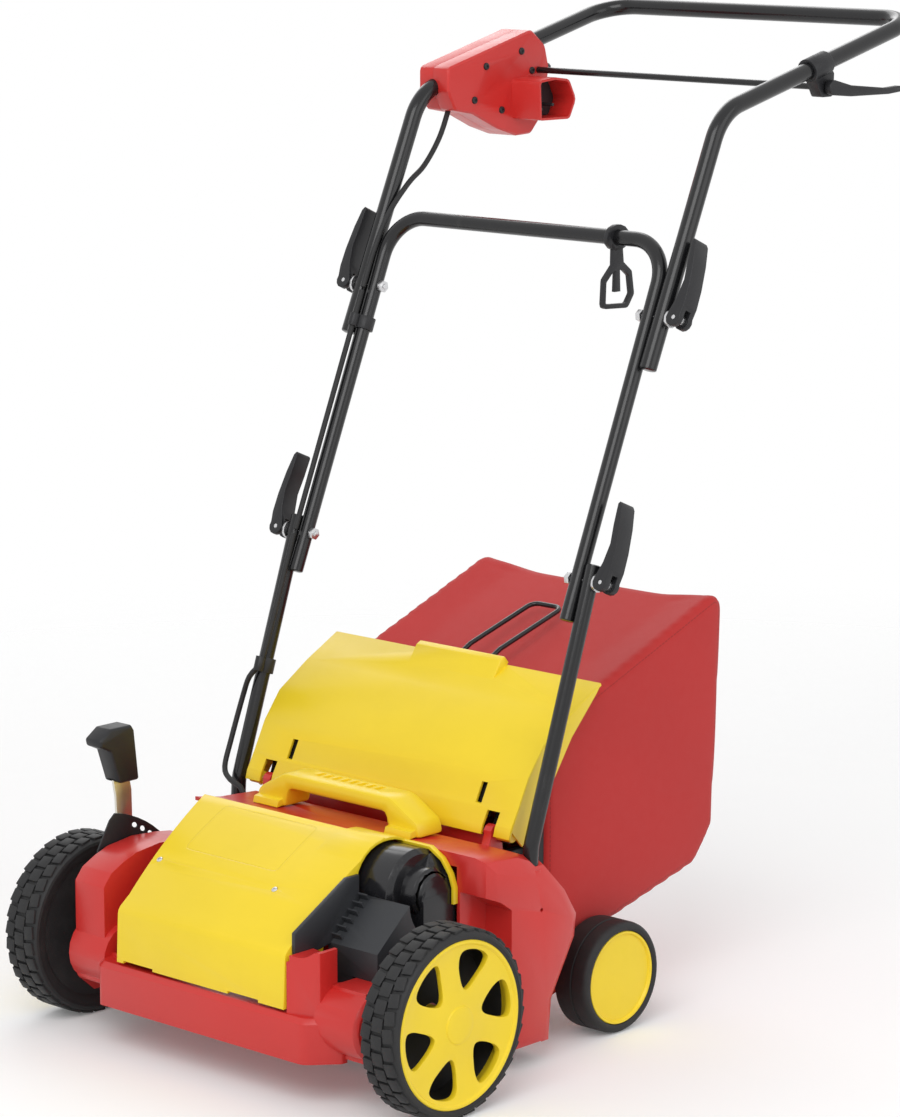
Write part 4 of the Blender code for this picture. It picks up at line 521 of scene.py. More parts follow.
# Front wheels
frontWheel = {
    "radius": 0.095, "width": 0.0466, "middleX": 0.2554, "seat": 0.0837, "fit": 0.0002,
    "treadDepth": 0.0030, "sunk": 0.0010, "blocks": 34, "openings": 6, "firstOpening": 72,
    # each row of blocks: place along the axle, width, share of a pitch on, lean in degrees
    "rows": ((-0.0140, 0.0120, 0.0, -9), (0.0, 0.0135, 0.5, 0), (0.0140, 0.0120, 0.0, 9)),
}


def frontTyre(middle):
    half = frontWheel["width"] / 2
    crown = frontWheel["radius"] - frontWheel["treadDepth"]
    seat = frontWheel["seat"] + frontWheel["fit"]
    outline = [
        (seat, half - 0.0012), (seat + 0.0030, half - 0.0004), (crown - 0.0050, half),
        (crown - 0.0022, half - 0.0006), (crown - 0.0006, half - 0.0024), (crown, half - 0.0050),
    ]
    outline += [(radius, -along) for radius, along in reversed(outline)]
    tyre = spunRound("tyre", outline, middle)
    pitch = math.tau / frontWheel["blocks"]
    blocks = []
    for along, width, shift, lean in frontWheel["rows"]:
        size = (width, pitch * crown * 0.80, frontWheel["treadDepth"] + frontWheel["sunk"])
        place = middle + Vector((along, 0, crown + size[2] / 2 - 0.0012))
        block = softBlock("block", place, size, 0.0007, 1)
        editAll(block)
        pickFaces(block, lambda spot, normal: normal.z > 0.9)
        bpy.ops.transform.resize(value=(0.88, 0.86, 1))
        leaveEdit()
        for index in range(frontWheel["blocks"]):
            turn = Matrix.Rotation((index + shift) * pitch, 4, "X")
            slant = Matrix.Rotation(math.radians(lean), 4, "Z")
            move = Matrix.Translation(middle) @ turn @ Matrix.Translation((along, 0, 0)) @ slant
            copy = block.copy()
            copy.data = block.data.copy()
            copy.data.transform(move @ Matrix.Translation(-middle - Vector((along, 0, 0))))
            bpy.context.scene.collection.objects.link(copy)
            blocks.append(copy)
        bpy.data.objects.remove(block, do_unlink=True)
    return joinPieces("tyre", [tyre, *blocks])


def petal(radius):
    # places round one opening as (share of the radius, degrees)
    corners = (
        (0.895, -17), (0.905, -3), (0.885, 12), (0.80, 17), (0.62, 16), (0.46, 11), (0.40, 2),
        (0.45, -8), (0.60, -15), (0.78, -19),
    )
    ring = []
    for share, degrees in corners:
        angle = math.radians(degrees)
        ring.append(Vector((math.cos(angle) * share * radius, math.sin(angle) * share * radius)))
    for _ in range(2):  # cuts the corners twice
        ring = [
            place for here, after in zip(ring, ring[1:] + ring[:1])
            for place in (here * 0.75 + after * 0.25, here * 0.25 + after * 0.75)
        ]
    return ring


def frontRim(middle, sign):
    half = frontWheel["width"] / 2
    seat = frontWheel["seat"]
    face = half - 0.0004
    outline = [
        (seat, face - 0.0010), (seat - 0.0010, face + 0.0002), (seat - 0.0034, face),
        (seat - 0.0052, face - 0.0024), (0.0560, face - 0.0042), (0.0300, face - 0.0030),
        (0.0215, face - 0.0016), (0.0190, face - 0.0016), (0.0182, face - 0.0002),
        (0.0120, face + 0.0004), (0.0, face + 0.0004), (0.0, face - 0.0060),
        (0.0063, face - 0.0060), (0.0063, 0.0025 - half), (0.0125, 0.0025 - half),
        (0.0125, face - 0.0085), (seat - 0.0060, face - 0.0095), (seat - 0.0034, 0.0060 - half),
        (seat, 0.0060 - half),
    ]
    outline = [(radius, along * sign) for radius, along in outline]
    rim = spunRound("rim", outline, middle)
    tools = []
    for index in range(frontWheel["openings"]):
        start = math.radians(frontWheel["firstOpening"] + index * 360 / frontWheel["openings"])
        turn = Matrix.Rotation(start if sign > 0 else math.pi - start, 2)
        ring = [turn @ place for place in petal(seat)]
        ring = [(middle.y + place.x, middle.z + place.y) for place in ring]
        low, high = sorted((middle.x + sign * (face - 0.016), middle.x + sign * (face + 0.006)))
        tools.append(pulledOut("opening", ring, low, high))
    cutWith(rim, tools)
    return roundEdges(rim, 0.0010, 2, 40)


# The closed inner side of the wheel, with a lip over the rim's edge
def wheelBack(middle, sign):
    half = frontWheel["width"] / 2
    seat = frontWheel["seat"]
    outline = [
        (seat - 0.0042, 0.0050), (seat - 0.0042, 0.0050 - half), (seat + 0.0012, 0.0034 - half),
        (seat + 0.0012, 0.0014 - half), (seat - 0.0060, 0.0020 - half),
        (seat - 0.0090, 0.0042 - half), (0.0140, 0.0042 - half), (0.0140, 0.0062 - half),
        (seat - 0.0080, 0.0066 - half), (seat - 0.0062, 0.0050),
    ]
    return spunRound("back", [(radius, along * sign) for radius, along in outline], middle, 64)


for side, sign in (("right", 1), ("left", -1)):
    middle = at(sign * frontWheel["middleX"], 0, frontWheel["radius"])
    body = "front_wheel_" + side
    tyre = joinPieces("frontTyreTread_" + side, [frontTyre(middle), wheelBack(middle, sign)])
    finishPiece(tyre, body, tyreBlack, ["front_tyre_" + side])
    rim = frontRim(middle, sign)
    rim.name = "frontRimCap_" + side
    finishPiece(rim, body, yellowShell, ["front_rim_" + side])
print("front wheels made")

# Rear wheels
rearWheel = {
    "radius": 0.0586, "width": 0.045, "middleX": 0.1928, "y": 0.3156, "disc": 0.0492, "fit": 0.0002,
}
for side, sign in (("right", 1), ("left", -1)):
    middle = at(sign * rearWheel["middleX"], rearWheel["y"], rearWheel["radius"])
    half = rearWheel["width"] / 2
    radius = rearWheel["radius"]
    seat = rearWheel["disc"] + rearWheel["fit"]
    outline = [
        (seat, half - 0.0016), (seat + 0.0014, half - 0.0004), (seat + 0.0040, half),
        (radius - 0.0024, half - 0.0012), (radius - 0.0006, half - 0.0036), (radius, half - 0.0070),
        (radius, 0.0040), (radius - 0.0012, 0.0034), (radius - 0.0012, 0.0016), (radius, 0.0010),
        (radius, 0.0070 - half), (radius - 0.0006, 0.0036 - half), (radius - 0.0024, 0.0012 - half),
        (seat + 0.0040, -half), (seat, 0.0016 - half),
    ]
    turned = [(place, along * sign) for place, along in outline]
    tyre = spunRound("rearTyreSmooth_" + side, turned, middle)
    finishPiece(tyre, "rear_wheel_" + side, tyreBlack, ["rear_tyre_" + side])
    face = half - 0.0025
    seat = rearWheel["disc"]
    outline = [
        (seat, face - 0.0006), (seat - 0.0008, face + 0.0010), (seat - 0.0030, face + 0.0008),
        (seat - 0.0044, face - 0.0014), (0.0300, face - 0.0008), (0.0, face - 0.0004),
        (0.0, face - 0.0050), (0.0063, face - 0.0055), (0.0063, 0.0020 - half),
        (0.0115, 0.0020 - half), (0.0115, face - 0.0045), (seat - 0.0045, face - 0.0045),
        (seat - 0.0010, 0.0035 - half), (seat, 0.0035 - half),
    ]
    turned = [(place, along * sign) for place, along in outline]
    disc = spunRound("rearDiscCap_" + side, turned, middle)
    finishPiece(disc, "rear_wheel_" + side, yellowShell, ["rear_disc_" + side])
print("rear wheels made")

# Handle tubes
handle = {
    "lowerX": 0.2087, "middleX": 0.1924, "upperX": 0.2097, "gripX": 0.214,
    "lowerRadius": 0.008, "upperRadius": 0.009,
    "socket": (0.1745, 0.150), "bend": (0.1796, 0.2246), "bendRadius": 0.040,
    "lowerFold": (0.2676, 0.481), "lowerPast": 0.016, "middlePast": 0.042,
    "crossbar": (0.4062, 0.8099), "crossbarRadius": 0.045,
    "upperFold": (0.3755, 0.737), "upperPast": 0.054,
    "shoulder": (0.4659, 0.9387), "shoulderRadius": 0.060,
    "grip": (0.7877, 1.0204), "gripRadius": 0.040,
}


def wayBetween(first, last):
    return Vector((0, last[0] - first[0], last[1] - first[1])).normalized()


lowerWay = wayBetween(handle["bend"], handle["lowerFold"])
middleWay = wayBetween(handle["lowerFold"], handle["crossbar"])
upperWay = wayBetween(handle["upperFold"], handle["shoulder"])


# A bent tube with a rounded plug in each open end
def bentTube(name, route, radius):
    parts = [drawnTube("tube", route, radius, 10)]
    for end, beside in ((route[0], route[1]), (route[-1], route[-2])):
        way = (end - beside).normalized()
        plug = [end + way * along for along in (-0.001, 0.0008, 0.0016)]
        parts.append(drawnTube("plug", plug, radius, 6, (0.96, 0.94, 0.70)))
    return joinPieces(name, parts)


for side, sign in (("right", 1), ("left", -1)):
    x = sign * handle["lowerX"]
    foot = at(x, *handle["socket"])
    top = at(x, *handle["lowerFold"]) + lowerWay * handle["lowerPast"]
    route = filleted([tuple(foot), (*at(x, *handle["bend"]), handle["bendRadius"]), tuple(top)])
    tube = bentTube("lowerTubeBent_" + side, route, handle["lowerRadius"])
    finishPiece(tube, "frame", blackTubePaint, ["lower_tube_" + side])

legs, corners = [], []
for sign in (1, -1):
    x = sign * handle["middleX"]
    legs.append(tuple(at(x, *handle["lowerFold"]) - middleWay * handle["middlePast"]))
    corners.append((*at(x, *handle["crossbar"]), handle["crossbarRadius"]))
route = filleted([legs[0], *corners, legs[1]], 18)
tube = bentTube("middleTubeBent", route, handle["lowerRadius"])
finishPiece(tube, "middle_handle", blackTubePaint, ["middle_tube"])

upperRoute = [
    tuple(at(handle["upperX"], *handle["upperFold"]) - upperWay * handle["upperPast"]),
    (*at(handle["upperX"], *handle["shoulder"]), handle["shoulderRadius"]),
    (*at(handle["gripX"], *handle["grip"]), handle["gripRadius"]),
]
upperRoute += [(-point[0], *point[1:]) for point in reversed(upperRoute)]
route = filleted(upperRoute, 18)
tube = bentTube("handleTubeBent", route, handle["upperRadius"])
finishPiece(tube, "upper_handle", blackTubePaint, ["handle_tube"])
print("handle tubes drawn")

# Switch cable in its three lengths
cable = {
    "radius": 0.003, "x": -0.1970, "away": 0.0125, "exit": (-0.1745, 0.155),
    "exitHeights": (0.190, 0.2005, 0.211),
    "loop": (
        (-0.1830, 0.1565, 0.2225), (-0.2030, 0.1605, 0.2270), (-0.2205, 0.1700, 0.2360),
        (-0.2262, 0.1860, 0.2640), (-0.2235, 0.2010, 0.3080),
    ),
    # x, length along the lower tube from its fold, distance in front of it
    "besideTube": (
        (-0.2140, -0.1640, 0.0135), (-0.2040, -0.148, 0.0130), (-0.2005, -0.120, 0.0125),
        (-0.1978, -0.004, 0.0125),
    ),
    "bendStart": (-0.1990, -0.070), "middleAway": 0.0127, "middleAlong": (0.0, 0.134, 0.268),
    "upperStart": 0.272,
    "toSwitch": (
        (-0.1975, 0.3789, 0.7738), (-0.1965, 0.4018, 0.8129), (-0.1972, 0.4332, 0.8430),
        (-0.2040, 0.4660, 0.8600), (-0.2060, 0.4920, 0.8880), (-0.2075, 0.5090, 0.9190),
        (-0.2080, 0.5180, 0.9400),
    ),
}


# A place in front of a tube, measured from the lower fold
def inFront(x, way, along, away):
    front = Vector((0, -way.z, way.y))
    return at(x, *handle["lowerFold"]) + way * along + front * away


def laidLead(name, places, spacing, body, node):
    lead = drawnTube(name, smoothRoute(places, spacing), cable["radius"], 4)
    return finishPiece(lead, body, tyreBlack, [node], 60)


lowerCable = [at(*cable["exit"], height) for height in cable["exitHeights"]]
lowerCable += [at(*place) for place in cable["loop"]]
for x, along, away in cable["besideTube"]:
    lowerCable.append(inFront(x, lowerWay, along, away))
middleCable = []
for along in cable["middleAlong"]:
    middleCable.append(inFront(cable["x"], middleWay, along, cable["middleAway"]))
upperCable = [inFront(cable["x"], middleWay, cable["upperStart"], cable["middleAway"])]
upperCable += [at(*place) for place in cable["toSwitch"]]

# The outer two bend across the folds of the handle
lead = laidLead("leadLower", lowerCable, 0.006, None, "cable_lower")
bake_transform(lead)
laidLead("leadMiddle", middleCable, 0.02, "middle_handle", "cable_middle")
lead = laidLead("leadUpper", upperCable, 0.006, None, "cable_upper")
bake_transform(lead)
print("cable laid")

# Moulded and metal pieces whose solids have the right shape: edges rounded, then painted
# (node, body, slot, material, width of the rounding, its segments)
skins = (
    ("deck", "frame", "red_plastic", redShell, 0.0016, 3),
    ("carry_handle", "frame", "yellow_plastic", yellowShell, 0.0012, 3),
    ("drive_case", "frame", "black_plastic", blackGloss, 0.0016, 3),
    ("intake_housing", "frame", "grey_plastic", greyGrained, 0.0016, 3),
    ("depth_sector", "frame", "black_plastic", blackGrained, 0.0004, 2),
    ("depth_lever", "depth_setting", "zinc_steel", zincYellow, 0.0005, 2),
    ("depth_grip", "depth_setting", "black_plastic", blackGrained, 0.0010, 2),
    ("switch_box_outer", "upper_handle", "red_plastic", redShell, 0.0024, 3),
    ("switch_box_inner", "upper_handle", "red_plastic", redShell, 0.0024, 3),
    ("inlet_insert", "upper_handle", "grey_plastic", greyGrained, 0.0004, 2),
    ("rod_clamp", "upper_handle", "black_plastic", blackGrained, 0.0008, 2),
    ("lock_button", "lock", "grey_plastic", greyGrained, 0.0006, 2),
    ("switch_rod", "switch", "black_tube", blackTubePaint, 0.0003, 1),
    ("cable_hook", "hook", "black_plastic", blackGrained, 0.0009, 2),
    ("cable_clip", "middle_handle", "black_plastic", blackGrained, 0.0005, 2),
    ("cable_collar", "frame", "black_plastic", blackGrained, 0.0005, 2),
    ("bag_frame", "bag", "black_plastic", blackGrained, 0.0006, 2),
    ("front_axle", "front_axle_unit", "bright_steel", zincBright, 0.0003, 1),
)
for end, holder in (("lower", "frame"), ("upper", "upper_handle")):
    for side in ("left", "right"):
        bolt = f"clamp_bolt_{end}_{side}"
        skins += ((bolt, holder, "bright_steel", zincBright, 0.0004, 2),)
for end in ("lower", "upper"):
    for side in ("right", "left"):
        corner = f"release_{end}_{side}"
        skins += (("quick_" + corner, corner, "black_plastic", blackGrained, 0.0014, 3),)
for node, body, slotName, material, width, segments in skins:
    smooth = 50 if node == "deck" else 34
    finishPiece(dressed(node, width, segments), body, material, [node], smooth)
print("moulded pieces dressed")

# Switch lever: its blade is slimmed about its own middle line
switchLever = {"slim": 0.58, "from": 0.655, "within": 0.012, "edge": 0.0012}


def slimLever():
    lever = dressed("switch_lever")
    places = [vertex.co.copy() for vertex in lever.data.vertices]
    for vertex, place in zip(lever.data.vertices, places):
        beside = [other.z for other in places if abs(other.y - place.y) < 0.006]
        middle = (min(beside) + max(beside)) / 2
        past = (place.y - axleY - switchLever["from"]) / switchLever["within"]
        share = min(1.0, max(0.0, past))
        vertex.co.z = middle + (place.z - middle) * (1 - share * (1 - switchLever["slim"]))
    return roundEdges(lever, switchLever["edge"], 2)


finishPiece(slimLever(), "switch", blackGrained, ["switch_lever"])

# Motor cover: its face is bowed outwards and its side edge well rounded
motorCover = {
    "foot": (-0.0765, 0.1490), "crest": (0.0645, 0.2400), "cuts": 12,
    "bow": 0.0060, "bowedSkin": 0.008, "bowEnds": 0.030, "sideRound": 0.0045, "edge": 0.0007,
    "panel": {"middle": (-0.034, 0.026), "half": (0.066, 0.030), "corner": 0.010, "groove": 0.0007},
    "screws": ((-0.118, -0.019), (0.048, -0.019)), "screwRadius": 0.0034,
}
slopeWay = wayBetween(motorCover["foot"], motorCover["crest"])
slopeUp = Vector((0, -slopeWay.z, slopeWay.y))
slopeFoot = at(0, *motorCover["foot"])
slopeLength = (at(0, *motorCover["crest"]) - slopeFoot).length


# Moves a place of the slope outwards, most at mid height and less inside the shell
def bowed(place):
    offset = Vector((0, place.y, place.z)) - slopeFoot
    share = offset.dot(slopeWay) / slopeLength
    depth = abs(offset.dot(slopeUp))
    if not 0 < share < 1:
        return place.copy()
    inside = max(0.0, depth - motorCover["bowedSkin"])
    near = max(0.0, 1 - inside / motorCover["bowEnds"])
    return place + slopeUp * motorCover["bow"] * near * math.sin(math.pi * share) ** 0.8


def coverShell():
    shell = dressed("motor_cover")
    editAll(shell)
    for cut in range(1, motorCover["cuts"]):
        spot = slopeFoot + slopeWay * slopeLength * cut / motorCover["cuts"]
        bpy.ops.mesh.select_all(action="SELECT")
        bpy.ops.mesh.bisect(plane_co=spot, plane_no=slopeWay)
    leaveEdit()
    for vertex in shell.data.vertices:
        vertex.co = bowed(vertex.co)
    editAll(shell, "DESELECT")
    bpy.ops.mesh.select_mode(type="EDGE")
    mesh = bmesh.from_edit_mesh(shell.data)
    for edge in mesh.edges:  # the edge between the left side and the slope
        if len(edge.link_faces) == 2:
            normals = [face.normal for face in edge.link_faces]
            first, second = sorted(normals, key=lambda normal: normal.x)
            outside = second.z > 0.2 or second.y < -0.5
            edge.select_set(first.x < -0.8 and abs(second.x) < 0.5 and outside)
    bmesh.update_edit_mesh(shell.data)
    bpy.ops.mesh.bevel(offset=motorCover["sideRound"], segments=4, clamp_overlap=True)
    leaveEdit()
    return roundEdges(shell, motorCover["edge"], 2, 38)


# The yellow plastic with the outline of a panel pressed into it
def coverPlastic():
    recipe = Recipe("yellowCoverPanel", yellowShell.copy())
    panel = motorCover["panel"]
    spot = recipe.node("ShaderNodeTexCoord", out=3)
    reach = []
    for axis, centre in enumerate((panel["middle"][0], panel["middle"][1] + axleY)):
        value = recipe.apart(spot, axis)
        reach.append(recipe.sum("ABSOLUTE", value - centre) - panel["half"][axis])
    offset = recipe.sum("ABSOLUTE", recipe.sum("SMOOTH_MAX", *reach, panel["corner"]))
    span = {"Value": offset, "From Min": 0.0, "From Max": panel["groove"]}
    groove = recipe.node("ShaderNodeMapRange", {}, span)
    last = recipe.shader.inputs["Normal"].links[0].from_socket
    dent = {"Height": groove, "Strength": 0.7, "Distance": 0.0006, "Normal": Wire(recipe, last)}
    recipe.set(Normal=recipe.node("ShaderNodeBump", {}, dent))
    return recipe.material


finishPiece(coverShell(), "frame", coverPlastic(), ["motor_cover"])


# A screw head of a turned outline, its face along the given way
def screwHead(middle, radius, way):
    outline = [
        (0.0, -0.0030), (radius, -0.0030), (radius, 0.0), (radius * 0.92, 0.0006),
        (radius * 0.55, 0.0012), (radius * 0.34, 0.0012), (radius * 0.26, 0.0002), (0.0, 0.0001),
    ]
    head = spunRound("screw", outline, Vector((0, 0, 0)), 24)
    turn = Vector((1, 0, 0)).rotation_difference(way).to_matrix().to_4x4()
    head.data.transform(Matrix.Translation(middle) @ turn)
    return head


heads = []
for x, y in motorCover["screws"]:
    offset = (y - motorCover["foot"][0]) / slopeWay.y
    place = bowed(slopeFoot + slopeWay * offset + Vector((x, 0, 0)))
    heads.append(screwHead(place, motorCover["screwRadius"], slopeUp))
finishPiece(joinPieces("coverScrewHeads", heads), "frame", zincBright)

# Rear flap: a lower lip, and thin black plates behind its slots and notches, as painted shade seen
# through them
rearFlap = {
    "lip": 0.70, "lipHalf": 0.0605, "lipY": 0.280, "edge": 0.0008,
    "top": (0.2850, 0.3530), "rise": 0.58,  # a place on its top face and how that rises
    # x, y, z, width, height, lean in degrees
    "ribs": (
        (-0.135, 0.1955, 0.2650, 0.026, 0.048, 27), (0.135, 0.1955, 0.2650, 0.026, 0.048, 27),
        (-0.1600, 0.1925, 0.2350, 0.026, 0.034, 20), (0.1600, 0.1925, 0.2350, 0.026, 0.034, 20),
    ),
}


def flapSheet():
    sheet = dressed("rear_flap")
    topY, topZ = rearFlap["top"]
    for vertex in sheet.data.vertices:
        place = vertex.co
        surface = topZ + (place.y - axleY - topY) * rearFlap["rise"]
        onLip = abs(place.x) < rearFlap["lipHalf"] and place.y > rearFlap["lipY"] + axleY
        if onLip and place.z > surface + 0.002:
            place.z = surface + (place.z - surface) * rearFlap["lip"]
    return roundEdges(sheet, rearFlap["edge"], 2)


finishPiece(flapSheet(), "flap", yellowShell, ["rear_flap"])
# black plates that paint the shade seen through the flap's slots and notches: painted shade
for x, y, z, wide, tall, lean in rearFlap["ribs"]:
    rib = softBlock("flapRib", at(x, y, z), (wide, 0.0020, tall), 0.0005)
    editAll(rib)
    bpy.ops.transform.rotate(value=math.radians(lean), orient_axis="X", center_override=at(x, y, z))
    leaveEdit()
    finishPiece(rib, "flap", blackGrained)

# Cross rib of the deck under the flap's lower edge
crossRib = {"middle": (0, 0.1850, 0.2095), "size": (0.2960, 0.0050, 0.0300), "edge": 0.0012}
rib = softBlock("deckRib", at(*crossRib["middle"]), crossRib["size"], crossRib["edge"])
finishPiece(rib, "frame", redShell)
print("cover and flap shaped")

# Solids that stay as they are, with their finish
kept = {
    "motor_body": castAlloy, "motor_shaft": zincBright, "cooling_fan": blackGrained,
    "drive_belt": tyreBlack, "rotor_pulley": greyGrained, "rotor_shaft": zincBright,
    "ball_bearing_left": zincBright, "ball_bearing_right": zincBright,
    "scarifier_blades": bladeSteel, "rear_axle": zincBright, "flap_hinge_rod": zincBright,
    "cover_screw_left": zincBright, "cover_screw_right": zincBright, "microswitch": greyGrained,
}
for node, material in kept.items():
    solids[node].data.materials.clear()
    solids[node].data.materials.append(material)
print("inner pieces finished")

# Collecting bag
bag = {
    "half": 0.1675, "wall": 0.0016, "voxel": 0.0060, "held": 0.010, "frames": 14,
    "bulge": 0.0075, "topRise": 0.0015, "topFrom": 0.30,  # how far the cloth may move
    "outline": (
        (0.2490, 0.0800), (0.2490, 0.3200), (0.2620, 0.3285), (0.3290, 0.3540), (0.5340, 0.4305),
        (0.5300, 0.3090), (0.5220, 0.1730), (0.4930, 0.1360), (0.3560, 0.1030),
    ),
    "rounding": (0, 0, 0, 0, 0.014, 0, 0.004, 0.020, 0),
    "mouthY": 0.2490, "mouthHalf": 0.155, "mouthLow": 0.092, "mouthHigh": 0.307,
}
# a light cloth blown out a little from inside, held at its seams and round the mouth
clothSettings = {
    "quality": 4, "mass": 0.25, "tension_stiffness": 12, "compression_stiffness": 12,
    "shear_stiffness": 6, "bending_stiffness": 0.8, "vertex_group_mass": "held",
    "use_pressure": True, "uniform_pressure_force": 1.2,
}


def bagOutline():
    points = []
    for (y, z), radius in zip(bag["outline"], bag["rounding"]):
        points.append((0, y + axleY, z, radius) if radius else (0, y + axleY, z))
    route = filleted([points[-1], *points, points[0]], 6)[1:-1]
    return [(place.y, place.z) for place in route]


# The nearest place of the outline, as (distance, length along the outline)
def besideOutline(place, ring):
    spot = Vector((place.y, place.z))
    best, length, where = 1.0, 0.0, 0.0
    for first, last in zip(ring, ring[1:] + ring[:1]):
        way = last - first
        share = min(1.0, max(0.0, (spot - first).dot(way) / way.length_squared))
        gap = (spot - first - way * share).length
        if gap < best:
            best, where = gap, length + share * way.length
        length += way.length
    return best, where


def seamMapping(piece, ring):
    layer = piece.data.uv_layers.new(name="seam")
    found = []
    for vertex in piece.data.vertices:
        gap, where = besideOutline(vertex.co, ring)
        found.append((where, gap if abs(vertex.co.x) > bag["half"] - 0.006 else 0.05))
    for loop in piece.data.loops:
        layer.data[loop.index].uv = found[loop.vertex_index]


def boxMapping(piece):
    layer = piece.data.uv_layers.new(name="cloth")
    for face in piece.data.polygons:
        normal = face.normal
        flat = max(range(3), key=lambda axis: abs(normal[axis]))
        for corner in face.loop_indices:
            place = piece.data.vertices[piece.data.loops[corner].vertex_index].co
            layer.data[corner].uv = [place[axis] for axis in range(3) if axis != flat]


def fabricBag():
    outline = bagOutline()
    shell = pulledOut("bagShell", outline, -bag["half"], bag["half"])
    roundEdges(shell, 0.005, 2, 50)
    remesh = shell.modifiers.new("cells", "REMESH")
    remesh.mode = "VOXEL"
    remesh.voxel_size = bag["voxel"]
    applyAll(shell)
    start = [vertex.co.copy() for vertex in shell.data.vertices]
    ring = [Vector(place) for place in outline]
    held = shell.vertex_groups.new(name="held")
    mouth = bag["mouthY"] + axleY
    for index, place in enumerate(start):
        onSide = bag["half"] - abs(place.x) < bag["held"]
        onSeam = onSide and besideOutline(place, ring)[0] < bag["held"]
        onMouth = place.y < mouth + bag["held"]
        held.add([index], 1.0 if onSeam or onMouth else 0.0, "REPLACE")
    soft = shell.modifiers.new("cloth", "CLOTH")
    for name, value in clothSettings.items():
        setattr(soft.settings, name, value)
    soft.settings.effector_weights.gravity = 0.35
    soft.collision_settings.use_collision = False
    scene = bpy.context.scene
    for step in range(1, bag["frames"] + 1):
        scene.frame_set(step)
    workOn(shell)
    bpy.ops.object.modifier_apply(modifier="cloth")
    scene.frame_set(1)
    for vertex, place in zip(shell.data.vertices, start):
        move = vertex.co - place
        if move.length > bag["bulge"]:
            move = move * (bag["bulge"] / move.length)
        if place.z > bag["topFrom"]:
            move.z = min(move.z, bag["topRise"])
        vertex.co = place + move
    editAll(shell)

    def inMouth(spot, normal):
        front = spot.y < mouth + 0.0055 and abs(spot.x) < bag["mouthHalf"]
        return front and bag["mouthLow"] < spot.z < bag["mouthHigh"]

    pickFaces(shell, inMouth)
    bpy.ops.mesh.delete(type="FACE")
    leaveEdit()
    even = shell.modifiers.new("even", "SMOOTH")
    even.iterations = 8
    even.factor = 0.5
    even.vertex_group = "held"
    even.invert_vertex_group = True
    applyAll(shell)
    wall = shell.modifiers.new("wall", "SOLIDIFY")
    wall.thickness = bag["wall"]
    wall.offset = -1
    finer = shell.modifiers.new("finer", "SUBSURF")
    finer.levels = 1
    finer.render_levels = 1
    applyAll(shell)
    boxMapping(shell)
    seamMapping(shell, ring)
    return shell


finishPiece(fabricBag(), "bag", clothRed, ["bag_fabric"], 60)

# The wire carrying loop on top of the bag: the corners of one side, then back along the other
wireLoop = {
    "radius": 0.0027, "half": 0.021, "bend": 0.010, "slightBend": 0.003,
    "corners": (
        (0.2463, 0.3065), (0.2463, 0.3250), (0.2626, 0.3330), (0.2850, 0.3435), (0.3090, 0.3570),
        (0.3410, 0.3730), (0.4410, 0.4020),
    ),
}
there = []
for index, (y, z) in enumerate(wireLoop["corners"]):
    atEnd = index == len(wireLoop["corners"]) - 1
    there.append((wireLoop["half"], y + axleY, z, wireLoop["bend" if atEnd else "slightBend"]))
there[0] = there[0][:3]
back = [(-x, *rest) for x, *rest in reversed(there)]
loop = drawnTube("bagWireLoop", filleted(there + back, 5), wireLoop["radius"], 5)
finishPiece(loop, "bag", blackTubePaint, smooth=60)
print("bag sewn")

# Screw heads on the inner face of the switch box
boxScrews = {
    "faceX": -0.1848, "radius": 0.0040,
    "places": (
        (0.5460, 0.9640), (0.6040, 0.9780), (0.6215, 0.9560), (0.5270, 0.9280), (0.5715, 0.9150),
    ),
}
heads = []
for y, z in boxScrews["places"]:
    place = at(boxScrews["faceX"], y, z)
    heads.append(screwHead(place, boxScrews["radius"], Vector((1, 0, 0))))
finishPiece(joinPieces("boxScrewHeads", heads), "upper_handle", blackGrained)
print("screws set")

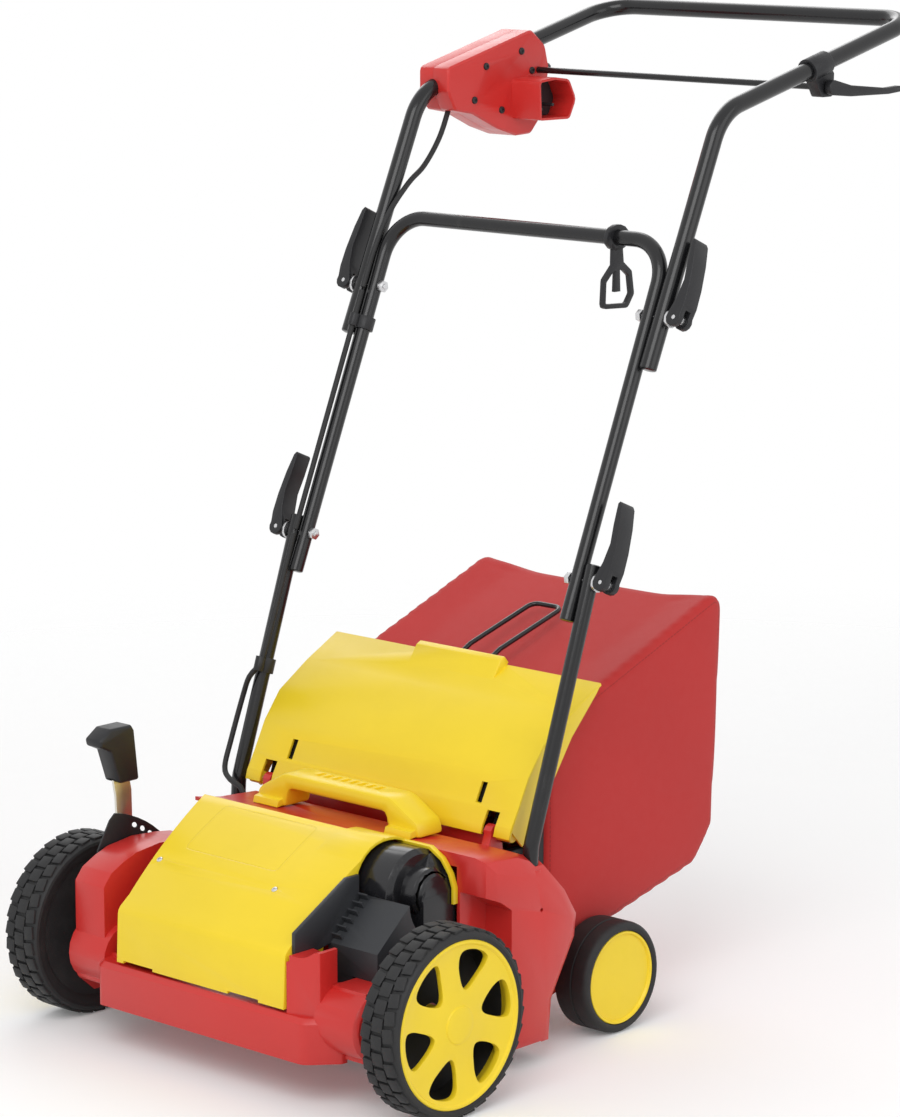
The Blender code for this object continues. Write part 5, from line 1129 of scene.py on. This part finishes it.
# Floor, light and camera
studio = {
    "floor": (0.93, 0.93, 0.93), "floorGlow": 0.10,
    "fadeScale": 0.42, "fadeFrom": 0.05, "fadeTo": 0.55,
    "sky": 0.62, "aim": (0, 0, 0.45),
}
clearSelection()
bpy.ops.mesh.primitive_plane_add(size=40, location=(0, 0, 0))
floor = bpy.context.object
floor.name = "floor"
ground = Recipe("paleFloor")
spot = ground.places([studio["fadeScale"]] * 3)
fade = ground.node("ShaderNodeTexGradient", {"gradient_type": "SPHERICAL"}, {"Vector": spot}, 1)
mottle = ground.cloud(ground.places(), 40.0)
ground.set(
    Base_Color=ground.between(mottle, studio["floor"], shade(studio["floor"], 0.985)),
    Roughness=0.9,
    Alpha=ground.ramp(fade, studio["fadeFrom"], studio["fadeTo"]),  # fades into the backdrop
    Emission_Color=ground.backdropRays() * studio["floorGlow"],
    Emission_Strength=1.0,
)
floor.data.materials.append(ground.material)

# White for the camera and for mirrors, softer on the machine itself
sky = Recipe("studio", bpy.data.worlds.new("studio"))
bpy.context.scene.world = sky.material
sky.set(Color=(1, 1, 1, 1), Strength=studio["sky"])
soft = Wire(sky, sky.shader.outputs[0])
white = sky.node("ShaderNodeBackground", {}, {"Color": (1, 1, 1, 1), "Strength": 1.0})
mixed = sky.node("ShaderNodeMixShader", {}, {0: sky.backdropRays(), 1: soft, 2: white})
sky.feed(sky.tree.nodes["World Output"].inputs[0], mixed)

lamps = {
    "key": {"place": (1.2, -2.4, 2.6), "size": 2.2, "power": 50},
    "fill": {"place": (3.2, 0.4, 1.8), "size": 2.4, "power": 19},
    "back": {"place": (-2.2, 1.8, 2.4), "size": 2.0, "power": 20},
}
for name, wish in lamps.items():
    light = bpy.data.lights.new(name, "AREA")
    light.shape = "SQUARE"
    light.size = wish["size"]
    light.energy = wish["power"]
    lamp = bpy.data.objects.new(name, light)
    bpy.context.scene.collection.objects.link(lamp)
    lamp.location = wish["place"]
    way = Vector(studio["aim"]) - lamp.location
    lamp.rotation_euler = way.to_track_quat("-Z", "Y").to_euler()

view = {"place": (2.7247, -3.01635, 1.2493), "azimuth": 42.71, "elevation": 10.91, "lens": 126.55}
lens = bpy.data.cameras.new("photoView")
lens.lens = view["lens"]
lens.sensor_width = 36
lens.clip_end = 100
camera = bpy.data.objects.new("photoView", lens)
bpy.context.scene.collection.objects.link(camera)
camera.location = view["place"]
camera.rotation_euler = (math.radians(90 - view["elevation"]), 0, math.radians(view["azimuth"]))
bpy.context.scene.camera = camera
bpy.context.scene.view_settings.view_transform = "Standard"
print("studio lit")
